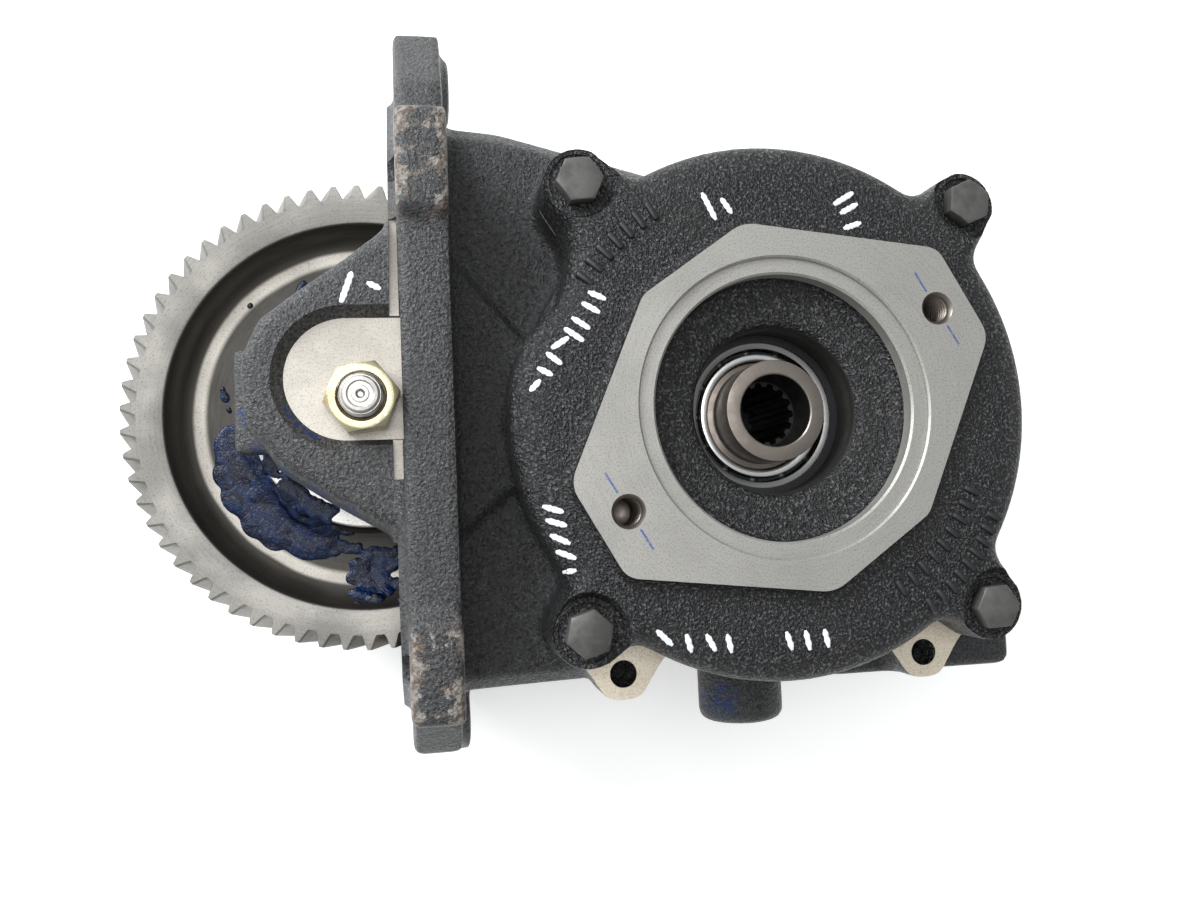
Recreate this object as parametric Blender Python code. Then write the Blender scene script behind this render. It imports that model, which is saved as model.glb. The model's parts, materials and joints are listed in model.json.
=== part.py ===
"""Two-shaft truck power take-off gearbox.

A helical input gear runs on needle rollers on a fixed shaft held by a
two-ear yoke outside a mounting flange.  It drives a smaller helical gear on
a parallel output shaft, whose internally splined end sits in a two-bolt pump
pad on the front cover.

Dimensions are in millimetres from the centre of the pump pad face, on the
output axis.  +Z points out of the pump pad, +X points away from the input
gear, and the mounting flange is the plane on the -X side.  At the end every
piece is hung on one empty, which puts the centre of the base at the origin.
"""
import math

import bmesh
import bpy
from mathutils import Matrix, Vector

MM = 0.001

# ---------------------------------------------------------------- dimensions
# gear pair
TEETH_IN = 63
TEETH_OUT = 42
AX, AY = -156.5, 8.5            # input gear axis, output axis at 0, 0
CENTRES = math.hypot(AX, AY)
M_T = 2.0 * CENTRES / (TEETH_IN + TEETH_OUT)      # transverse module
M_N = 2.822                                       # normal module (9 DP)
HELIX = math.acos(M_N / M_T)
ALPHA_T = math.atan(math.tan(math.radians(20.0)) / math.cos(HELIX))
FLANK_RELIEF = 0.20             # taken off each flank
ZM = -81.0                      # mid plane of both gears
IN_FACE, OUT_FACE = 26.0, 24.0  # face widths
# levels along the shafts
Z_PAD = 0.0
Z_CAST = -5.0                   # cast face of the cover
Z_RIM = -12.0                   # full outline of the cover starts here
Z_COVER = -29.5                 # rear face of the cover
Z_GASKET = (-29.8, -30.6)
Z_JOINT = -30.9                 # front face of the housing
Z_LUG = -31.4                   # spot faces on the screw lugs
Z_REAR = -139.6                 # rear hub face of the housing
Z_BASE = -154.0                 # plane the gearbox stands on
# pump pad (SAE B, two bolts)
PILOT_R = 50.8
PAD_R = 57.0
PUMP_BOLT_R = 73.0
PUMP_BOLT_A = math.radians(30.3)
# cover
COVER_R = 103.3
LOBE_R = 14.0
COVER_BOLTS = [(-74.5, 88.0), (83.5, 81.5), (-78.0, -80.5), (84.0, -80.0)]
DOWELS = [(-22.0, 88.0), (24.0, -88.0)]
# flange
X_FACE = -145.5                 # machined mounting face
X_PLATE = -142.5
X_BACK = -123.0
# yoke
Z_EAR_F = (-64.0, -17.6)
Z_EAR_R = (-142.0, -98.0)
SHAFT_R = 17.0


# ------------------------------------------------------------------- helpers
def wipe():
    for ob in list(bpy.data.objects):
        bpy.data.objects.remove(ob, do_unlink=True)


def finish(name, bm, merge=1e-6):
    bmesh.ops.remove_doubles(bm, verts=bm.verts, dist=merge)
    bmesh.ops.recalc_face_normals(bm, faces=bm.faces)
    me = bpy.data.meshes.new(name)
    bm.to_mesh(me)
    bm.free()
    ob = bpy.data.objects.new(name, me)
    bpy.context.scene.collection.objects.link(ob)
    return ob


def lathe(name, profile, seg=48, x=0.0, y=0.0, phase=0.0):
    """Closed profile of (radius, z) turned about the vertical axis at x, y."""
    bm = bmesh.new()
    rings = []
    for r, z in profile:
        if r < 1e-9:
            v = bm.verts.new((x * MM, y * MM, z * MM))
            rings.append([v] * seg)
        else:
            ring = []
            for i in range(seg):
                a = phase + 2 * math.pi * i / seg
                ring.append(bm.verts.new(((x + r * math.cos(a)) * MM,
                                          (y + r * math.sin(a)) * MM, z * MM)))
            rings.append(ring)
    n = len(rings)
    for k in range(n):
        a, b = rings[k], rings[(k + 1) % n]
        for i in range(seg):
            j = (i + 1) % seg
            quad = [a[i], a[j], b[j], b[i]]
            seen = []
            for v in quad:
                if v not in seen:
                    seen.append(v)
            if len(seen) >= 3:
                bm.faces.new(seen)
    return finish(name, bm)


def cylinder(name, x, y, r, z0, z1, seg=32):
    return lathe(name, [(0, z0), (r, z0), (r, z1), (0, z1)], seg, x, y)


def loft(name, rings):
    """Stack of equal-count loops of (x, y, z), closed by flat ends."""
    bm = bmesh.new()
    loops = [[bm.verts.new((p[0] * MM, p[1] * MM, p[2] * MM)) for p in ring]
             for ring in rings]
    n = len(loops[0])
    for a, b in zip(loops, loops[1:]):
        for i in range(n):
            j = (i + 1) % n
            bm.faces.new((a[i], a[j], b[j], b[i]))
    bm.faces.new(loops[0])
    bm.faces.new(loops[-1])
    return finish(name, bm)


def prism(name, outline, z0, z1):
    return loft(name, [[(p[0], p[1], z0) for p in outline],
                       [(p[0], p[1], z1) for p in outline]])


def prism_x(name, outline, x0, x1):
    """Outline of (y, z) extruded along X."""
    return loft(name, [[(x0, p[0], p[1]) for p in outline],
                       [(x1, p[0], p[1]) for p in outline]])


def prism_y(name, outline, y0, y1):
    """Outline of (x, z) extruded along Y."""
    return loft(name, [[(p[0], y0, p[1]) for p in outline],
                       [(p[0], y1, p[1]) for p in outline]])


def circle(cx, cy, r, seg=32, phase=0.0):
    return [(cx + r * math.cos(phase + 2 * math.pi * i / seg),
             cy + r * math.sin(phase + 2 * math.pi * i / seg))
            for i in range(seg)]


def box(name, x0, x1, y0, y1, z0, z1):
    return prism(name, [(x0, y0), (x1, y0), (x1, y1), (x0, y1)], z0, z1)


def rounded(points, radii, seg=4):
    """Polygon with its corners rounded."""
    out = []
    n = len(points)
    for i, p in enumerate(points):
        r = radii[i] if isinstance(radii, (list, tuple)) else radii
        p = Vector(p)
        a = Vector(points[i - 1]) - p
        b = Vector(points[(i + 1) % n]) - p
        la, lb = a.length, b.length
        a.normalize()
        b.normalize()
        half = a.angle(b) / 2
        if r <= 0 or half > math.pi / 2 - 0.02:
            out.append((p.x, p.y))
            continue
        d = min(r / math.tan(half), 0.45 * la, 0.45 * lb)
        rr = d * math.tan(half)
        c = p + (a + b).normalized() * (rr / math.sin(half))
        s = p + a * d - c
        e = p + b * d - c
        total = math.atan2(s.x * e.y - s.y * e.x, s.dot(e))
        for k in range(seg + 1):
            t = total * k / seg
            out.append((c.x + s.x * math.cos(t) - s.y * math.sin(t),
                        c.y + s.x * math.sin(t) + s.y * math.cos(t)))
    return out


def boolean(ob, other, operation, solver="EXACT"):
    mod = ob.modifiers.new("b", "BOOLEAN")
    mod.operation = operation
    mod.object = other
    mod.solver = solver
    deps = bpy.context.evaluated_depsgraph_get()
    me = bpy.data.meshes.new_from_object(ob.evaluated_get(deps))
    ob.modifiers.clear()
    old = ob.data
    ob.data = me
    bpy.data.meshes.remove(old)
    bpy.data.objects.remove(other, do_unlink=True)
    return ob


def cut(ob, other):
    return boolean(ob, other, "DIFFERENCE")


def add(ob, other):
    return boolean(ob, other, "UNION")


def keep(ob, other):
    return boolean(ob, other, "INTERSECT")


def tidy(ob):
    """Merge the points a cut leaves on top of each other."""
    bm = bmesh.new()
    bm.from_mesh(ob.data)
    bmesh.ops.remove_doubles(bm, verts=bm.verts, dist=2e-6)
    bmesh.ops.dissolve_degenerate(bm, edges=bm.edges, dist=2e-6)
    bm.to_mesh(ob.data)
    bm.free()


# ----------------------------------------------------------------- materials
MATERIALS = {
    "black_cast_iron": ((0.018, 0.019, 0.021), 0.62, 0.35),
    "bare_machined_iron": ((0.46, 0.45, 0.42), 0.38, 0.9),
    "gear_steel": ((0.30, 0.30, 0.29), 0.42, 0.95),
    "ground_steel": ((0.50, 0.48, 0.46), 0.28, 1.0),
    "bearing_steel": ((0.62, 0.62, 0.62), 0.16, 1.0),
    "bolt_steel": ((0.10, 0.10, 0.105), 0.45, 0.85),
    "yellow_zinc": ((0.72, 0.64, 0.36), 0.30, 0.95),
    "gasket_paper": ((0.42, 0.38, 0.30), 0.85, 0.0),
    "black_oxide": ((0.03, 0.03, 0.032), 0.5, 0.6),
    "bronze": ((0.45, 0.27, 0.10), 0.35, 0.9),
}


def paint(ob, key):
    mat = bpy.data.materials.get(key)
    if mat is None:
        rgb, rough, metal = MATERIALS[key]
        mat = bpy.data.materials.new(key)
        mat.use_nodes = True
        node = mat.node_tree.nodes["Principled BSDF"]
        node.inputs["Base Color"].default_value = (*rgb, 1.0)
        node.inputs["Roughness"].default_value = rough
        node.inputs["Metallic"].default_value = metal
        mat.diffuse_color = (*rgb, 1.0)
    ob.data.materials.clear()
    ob.data.materials.append(mat)
    ob.data.shade_smooth()
    ob.data.set_sharp_from_angle(angle=math.radians(35))
    return ob


def set_origin(ob, x, y, z):
    """Move the object's origin to a point and leave its shape in place."""
    ob.data.transform(Matrix.Translation((-x * MM, -y * MM, -z * MM)))
    ob.location = (x * MM, y * MM, z * MM)


# --------------------------------------------------------------- cover shape
def cover_radius(theta):
    """Radius of the cover's outline: a disc, four bolt lobes and a waist."""
    base = COVER_R
    notch = (theta - math.radians(152) + math.pi) % (2 * math.pi) - math.pi
    base -= 9.5 * math.exp(-(notch / math.radians(11)) ** 2)
    best = base
    for bx, by in COVER_BOLTS:
        d = math.hypot(bx, by)
        delta = (theta - math.atan2(by, bx) + math.pi) % (2 * math.pi) - math.pi
        limit = LOBE_R / d
        if abs(delta) < 1.6 * limit:
            s = min(1.0, abs(math.sin(delta)) * d / LOBE_R)
            lobe = d * math.cos(delta) + LOBE_R * math.sqrt(1.0 - s * s)
            k = 6.0
            m = max(lobe, best)
            best = m + k * math.log(math.exp((lobe - m) / k)
                                    + math.exp((best - m) / k)) - k * 0.12
    return best


def cover_outline(offset=0.0, seg=60):
    return [((cover_radius(t) + offset) * math.cos(t),
             (cover_radius(t) + offset) * math.sin(t))
            for t in (2 * math.pi * i / seg for i in range(seg))]


def pad_outline():
    half = [(-14.0, 69.3), (64.0, 60.0), (83.0, 26.0), (53.5, -42.0)]
    radii = [13.0, 8.0, 10.0, 8.0]
    pts = half + [(-x, -y) for x, y in half]
    return rounded(pts, radii + radii, 4)


# --------------------------------------------------------------------- gears
def involute(a):
    return math.tan(a) - a


def tooth_points(teeth, centre_angle):
    """Six outline points of one tooth, as (radius, angle)."""
    pitch_r = M_T * teeth / 2
    base_r = pitch_r * math.cos(ALPHA_T)
    tip_r = pitch_r + M_N
    root_r = pitch_r - 1.18 * M_N
    half_p = math.pi / (2 * teeth) - FLANK_RELIEF / pitch_r

    def half(r):
        if r <= base_r:
            return half_p + involute(ALPHA_T)
        return half_p + involute(ALPHA_T) - involute(math.acos(base_r / r))

    root_h = min(half(max(root_r, base_r)) + 0.10 / root_r, 0.92 * math.pi / teeth)
    left = [(root_r, root_h), (pitch_r, half(pitch_r)), (tip_r, half(tip_r))]
    pts = [(r, centre_angle - h) for r, h in left]
    pts += [(r, centre_angle + h) for r, h in reversed(left)]
    return pts


def gear(name, teeth, x, y, face, z_mid, first, hand, inner, levels=1):
    """Helical gear: toothed rim joined to a turned body.

    inner is the profile of (radius, z) from the front inner edge of the rim,
    through the hub and bore, to the rear inner edge of the rim.
    """
    pitch_r = M_T * teeth / 2
    twist_rate = hand * math.tan(HELIX) / pitch_r
    z_top = z_mid + face / 2
    bm = bmesh.new()
    rims = []
    for k in range(levels + 1):
        z = z_top - face * k / levels
        twist = twist_rate * (z_mid - z)
        ring = []
        for i in range(teeth):
            for r, a in tooth_points(teeth, first + 2 * math.pi * i / teeth):
                ring.append(bm.verts.new(((x + r * math.cos(a + twist)) * MM,
                                          (y + r * math.sin(a + twist)) * MM,
                                          z * MM)))
        rims.append(ring)
    n = len(rims[0])
    for a, b in zip(rims, rims[1:]):
        for i in range(n):
            j = (i + 1) % n
            bm.faces.new((a[i], a[j], b[j], b[i]))
    pitch_a = 2 * math.pi / teeth
    body = []
    for r, z in inner:
        body.append([bm.verts.new(((x + r * math.cos(first + (i - 0.5) * pitch_a)) * MM,
                                   (y + r * math.sin(first + (i - 0.5) * pitch_a)) * MM,
                                   z * MM)) for i in range(teeth)])
    for a, b in zip(body, body[1:]):
        for i in range(teeth):
            j = (i + 1) % teeth
            bm.faces.new((a[i], a[j], b[j], b[i]))
    per = n // teeth
    for rim, ring, z in ((rims[0], body[0], z_top), (rims[-1], body[-1], z_top - face)):
        shift = round(twist_rate * (z_mid - z) / pitch_a)
        for i in range(teeth):
            a = ring[(i + shift) % teeth]
            b = ring[(i + 1 + shift) % teeth]
            tooth = [rim[i * per + k] for k in range(per)]
            prev_end = rim[(i * per - 1) % n]
            bm.faces.new([a, prev_end, tooth[0]])
            bm.faces.new([a] + tooth + [b])
    return finish(name, bm, merge=1e-7)


def build_input_gear():
    face = IN_FACE / 2
    zt, zb = ZM + face, ZM - face
    hub_r = 46.5
    inner = [(81.5, zt), (74.0, zt - 9.6), (48.5, zt - 9.8),
             (hub_r, ZM + 14.1), (22.0, ZM + 14.1), (22.0, ZM - 14.1),
             (hub_r, ZM - 14.1), (48.5, zb + 9.8), (74.0, zb + 9.6), (81.5, zb)]
    first = math.atan2(-AY, -AX)
    ob = gear("input_gear", TEETH_IN, AX, AY, IN_FACE, ZM, first, +1, inner)
    set_origin(ob, AX, AY, ZM)
    return paint(ob, "gear_steel")


def build_output_gear():
    face = OUT_FACE / 2
    zt, zb = ZM + face, ZM - face
    inner = [(52.5, zt), (35.0, zt - 3.0), (32.0, ZM + 15.0),
             (23.3, ZM + 15.0), (23.3, ZM - 15.0),
             (32.0, ZM - 15.0), (35.0, zb + 3.0), (52.5, zb)]
    first = math.atan2(AY, AX) + math.pi / TEETH_OUT
    ob = gear("output_gear", TEETH_OUT, 0, 0, OUT_FACE, ZM, first, -1, inner)
    cut(ob, box("k", 18, 27.6, -5.2, 5.2, ZM - 30, ZM + 30))
    tidy(ob)
    set_origin(ob, 0, 0, ZM)
    return paint(ob, "gear_steel")


# ---------------------------------------------------------------- the shafts
def build_output_shaft():
    teeth = 15
    major, minor = 12.9, 11.3
    ob = lathe("output_shaft", [
        (0, -134.0), (17.4, -134.0), (17.4, -130.9), (16.4, -130.9),
        (16.4, -129.0), (17.4, -129.0), (17.4, -106.0), (27.0, -105.5), (27.0, -96.3),
        (23.0, -96.3), (23.0, -46.6), (22.1, -46.6), (22.1, -33.6), (19.9, -33.6),
        (19.9, -13.6), (0, -13.6)], 32)
    cut(ob, lathe("b", [(0, -34.0), (13.2, -34.0), (15.0, -31.5), (15.0, -10.0),
                        (0, -10.0)], 32))
    pts = []
    for i in range(teeth):
        a = 2 * math.pi * i / teeth
        p = math.pi / teeth
        for r, k in ((minor, -0.62), (major, -0.42), (major, 0.42), (minor, 0.62)):
            pts.append((r * math.cos(a + k * p), r * math.sin(a + k * p)))
    cut(ob, prism("s", pts, -80.0, -32.5))
    cut(ob, box("k", 18.7, 30.0, -5.0, 5.0, ZM - 12.4, ZM + 12.4))
    tidy(ob)
    return paint(ob, "ground_steel")


def build_shaft_parts():
    obs = []
    key = prism("shaft_key", [(19.0, -4.7), (27.2, -4.7), (27.2, 4.7), (19.0, 4.7)],
                ZM - 12.0, ZM + 12.0)
    obs.append(paint(key, "bolt_steel"))
    sleeve = lathe("spacer_sleeve", [(23.35, -46.9), (28.0, -46.9), (28.0, -65.7),
                                     (23.35, -65.7)], 28)
    obs.append(paint(sleeve, "ground_steel"))
    ring = lathe("shaft_snap_ring", [(16.75, -129.3), (21.0, -129.3), (21.0, -130.6),
                                     (16.75, -130.6)], 20)
    cut(ring, box("g", 12, 25, -2.0, 2.0, -135, -120))
    obs.append(paint(ring, "black_oxide"))
    return obs


def ball_bearing(prefix, r_in, r_inner, r_outer, r_out, z0, z1, ball_r, balls, clear):
    """Deep-groove bearing: outer ring, inner ring, balls joined by their cage."""
    zc = (z0 + z1) / 2
    pitch = (r_inner + r_outer) / 2
    groove = ball_r + clear

    def arc(land, side):
        off = abs(land - pitch)
        h = math.sqrt(groove * groove - off * off)
        a0 = math.atan2(h, side * off) if side > 0 else math.atan2(h, -off)
        pts = []
        for k in range(4):
            a = a0 + (-2 * a0) * k / 3 if side > 0 else a0 + (2 * math.pi - 2 * a0) * k / 3
            pts.append((pitch + groove * math.cos(a), zc + groove * math.sin(a)))
        return pts

    c = 0.6
    outer = lathe(prefix + "_outer_ring", [(r_out, z0), (r_out, z1 - c), (r_out - c, z1),
                                           (r_outer, z1)] + arc(r_outer, 1)
                  + [(r_outer, z0)], 28)
    inner = lathe(prefix + "_inner_ring", [(r_in, z0), (r_in, z1 - c), (r_in + c, z1),
                                           (r_inner, z1)] + arc(r_inner, -1)
                  + [(r_inner, z0)], 28)
    t = (r_outer - r_inner) / 2 - 0.35
    w = ball_r * 0.75
    cage = lathe(prefix + "_ball_cage", [(pitch - t, zc - w), (pitch + t, zc - w),
                                         (pitch + t, zc + w), (pitch - t, zc + w)], 28)
    for i in range(balls):
        a = 2 * math.pi * (i + 0.5) / balls
        bm = bmesh.new()
        bmesh.ops.create_uvsphere(bm, u_segments=6, v_segments=4, radius=ball_r * MM,
                                   matrix=Matrix.Translation((pitch * math.cos(a) * MM,
                                                              pitch * math.sin(a) * MM,
                                                              zc * MM)))
        add(cage, finish("ball", bm))
    tidy(cage)
    return [paint(outer, "bearing_steel"), paint(inner, "bearing_steel"),
            paint(cage, "bearing_steel")]


def needle_cage(name, z0, z1):
    """Rollers held in one cage between the fixed shaft and the gear bore."""
    pts = []
    count = 14
    for i in range(count):
        a = 2 * math.pi * i / count
        p = math.pi / count
        for r, k in ((20.1, -0.62), (21.6, -0.34), (21.6, 0.34), (20.1, 0.62)):
            pts.append((AX + r * math.cos(a + k * p), AY + r * math.sin(a + k * p)))
    ob = prism(name, pts, z0, z1)
    cut(ob, cylinder("c", AX, AY, 17.4, z0 - 5, z1 + 5, 28))
    tidy(ob)
    set_origin(ob, AX, AY, (z0 + z1) / 2)
    return paint(ob, "bearing_steel")


def build_idler_parts():
    obs = []
    shaft = lathe("idler_shaft", [
        (0, -138.0), (SHAFT_R, -138.0), (SHAFT_R, -31.8), (7.7, -31.8), (7.7, -4.0),
        (6.4, -2.6), (1.8, -2.6), (0, -5.4)], 32, AX, AY)
    obs.append(paint(shaft, "ground_steel"))
    hexa = circle(AX, AY, 12.0 / math.cos(math.pi / 6), 6, math.radians(8))
    nut = prism("idler_nut", hexa, -21.6, -8.8)
    cone = lathe("n", [(0, -30.0), (15.0, -30.0), (15.0, -10.0), (11.6, -8.7), (0, -8.7)],
                 24, AX, AY)
    keep(nut, cone)
    cut(nut, lathe("h", [(0, -30.0), (8.05, -30.0), (8.05, -9.9), (9.2, -8.4), (0, -8.4)],
                   20, AX, AY))
    tidy(nut)
    obs.append(paint(nut, "yellow_zinc"))
    for name, z0, z1 in (("thrust_washer_front", -66.5, -64.4),
                         ("thrust_washer_rear", -97.6, -95.5)):
        w = lathe(name, [(17.5, z0), (37.0, z0), (37.0, z1), (17.5, z1)], 32, AX, AY)
        obs.append(paint(w, "bronze"))
    obs.append(needle_cage("needle_cage_front", -80.4, -67.6))
    obs.append(needle_cage("needle_cage_rear", -94.4, -81.6))
    return obs


# --------------------------------------------------------------- front cover
def build_cover():
    lo = cover_outline(0.0)
    rings = [[(x, y, Z_COVER) for x, y in lo], [(x, y, Z_RIM) for x, y in lo]]
    for off, z in ((-1.8, -8.6), (-7.0, -6.0)):
        rings.append([(x, y, z) for x, y in cover_outline(off)])
    ob = loft("front_cover", rings)
    pad = pad_outline()
    add(ob, loft("p", [[(x * 1.02, y * 1.02, -20.0) for x, y in pad],
                       [(x * 1.02, y * 1.02, -4.6) for x, y in pad],
                       [(x, y, -3.2) for x, y in pad],
                       [(x, y, 0.0) for x, y in pad]]))
    # spigot and bearing hub behind the cover
    add(ob, lathe("h", [(30.0, -25.0), (73.6, -25.0), (73.5, -37.0),
                        (67.5, -37.0), (66.0, -29.0), (44.0, -29.0), (41.5, -48.0),
                        (30.0, -48.0)], 36))
    cut(ob, lathe("w", [(49.0, -40.0), (52.0, -17.5), (63.0, -17.5), (66.5, -40.0)], 30))
    # stepped pump bore, from the pad face down to the bearing seat
    cut(ob, lathe("b", [(0, 5.0), (PAD_R, 5.0), (PAD_R, -2.0), (PILOT_R, -2.0),
                        (PILOT_R, -10.0), (47.0, -12.2), (37.0, -12.6),
                        (32.3, -16.8), (32.3, -29.55), (34.1, -29.55), (34.1, -43.3),
                        (35.7, -43.3), (35.7, -45.6), (34.4, -45.6), (34.4, -50.0),
                        (0, -50.0)], 40))
    for s in (1, -1):
        x, y = (s * PUMP_BOLT_R * math.cos(PUMP_BOLT_A), s * PUMP_BOLT_R * math.sin(PUMP_BOLT_A))
        cut(ob, lathe("m", [(0, -24.5), (5.1, -22.0), (5.1, -1.4), (6.6, 0.1), (6.6, 3.0),
                            (0, 3.0)], 12, x, y))
    for x, y in COVER_BOLTS:
        cut(ob, lathe("m", [(0, -40.0), (5.5, -40.0), (5.5, -12.0), (12.2, -12.0),
                            (12.2, 3.0), (0, 3.0)], 14, x, y))
    for x, y in DOWELS:
        cut(ob, cylinder("d", x, y, 4.3, -40.0, -21.5, 12))
    tidy(ob)
    return paint(ob, "black_cast_iron")


def build_gasket():
    ob = prism("cover_gasket", cover_outline(-0.35), Z_GASKET[1], Z_GASKET[0])
    cut(ob, cylinder("c", 0, 0, 74.4, -40, -20, 36))
    for x, y in COVER_BOLTS:
        cut(ob, cylinder("c", x, y, 5.6, -40, -20, 10))
    for x, y in DOWELS:
        cut(ob, cylinder("c", x, y, 4.6, -40, -20, 10))
    tidy(ob)
    return paint(ob, "gasket_paper")


def hex_bolt(name, x, y, turn):
    head = prism(name, circle(x, y, 8.0 / math.cos(math.pi / 6), 6, turn), -11.7, -5.3)
    keep(head, lathe("c", [(0, -20.0), (12.0, -20.0), (12.0, -6.4), (7.6, -5.2), (0, -5.2)],
                     24, x, y))
    add(head, lathe("s", [(0, -56.0), (4.0, -56.0), (4.9, -55.0), (4.9, -8.0), (0, -8.0)],
                    12, x, y))
    tidy(head)
    return paint(head, "bolt_steel")


# ------------------------------------------------------------------- housing
def flange_outline():
    """Outline of the flange in Y and Z, the same on both sides of the gears."""
    top = [(116.0, -8.0), (119.0, -38.0), (139.5, -42.0), (168.0, -61.0)]
    bottom = [(-130.5, -61.0), (-113.5, -40.0), (-109.5, -8.0)]
    recess = [(-74.0, -8.0), (-70.0, -13.0), (74.0, -13.0), (78.0, -8.0)]
    near = bottom[1:] + recess + top
    far = [(y, 2 * ZM - z) for y, z in reversed(near)]
    pts = [bottom[0]] + near + far + [(bottom[0][0], 2 * ZM - bottom[0][1])]
    radii = [6, 5, 5, 3, 3, 3, 3, 5, 5, 6, 6]
    radii = radii + list(reversed(radii[1:])) + [6]
    return rounded(pts, radii, 3)


def ear_outline():
    pts = [(-130.0, 78.0), (-145.0, 72.8), (-161.4, 59.5), (-177.2, 48.0), (-190.5, 37.5),
           (-197.0, 24.0), (-196.0, 2.0), (-185.1, -15.5), (-165.8, -29.5), (-147.0, -42.0),
           (-130.0, -46.0)]
    return rounded(pts, [0, 0, 30, 30, 10, 12, 14, 16, 30, 6, 0], 3)


FLANGE_BOLTS = [(98.0, -24.0), (-92.0, -24.0), (98.0, -138.0), (-92.0, -138.0),
                (151.0, -81.0), (-119.0, -81.0)]


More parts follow.
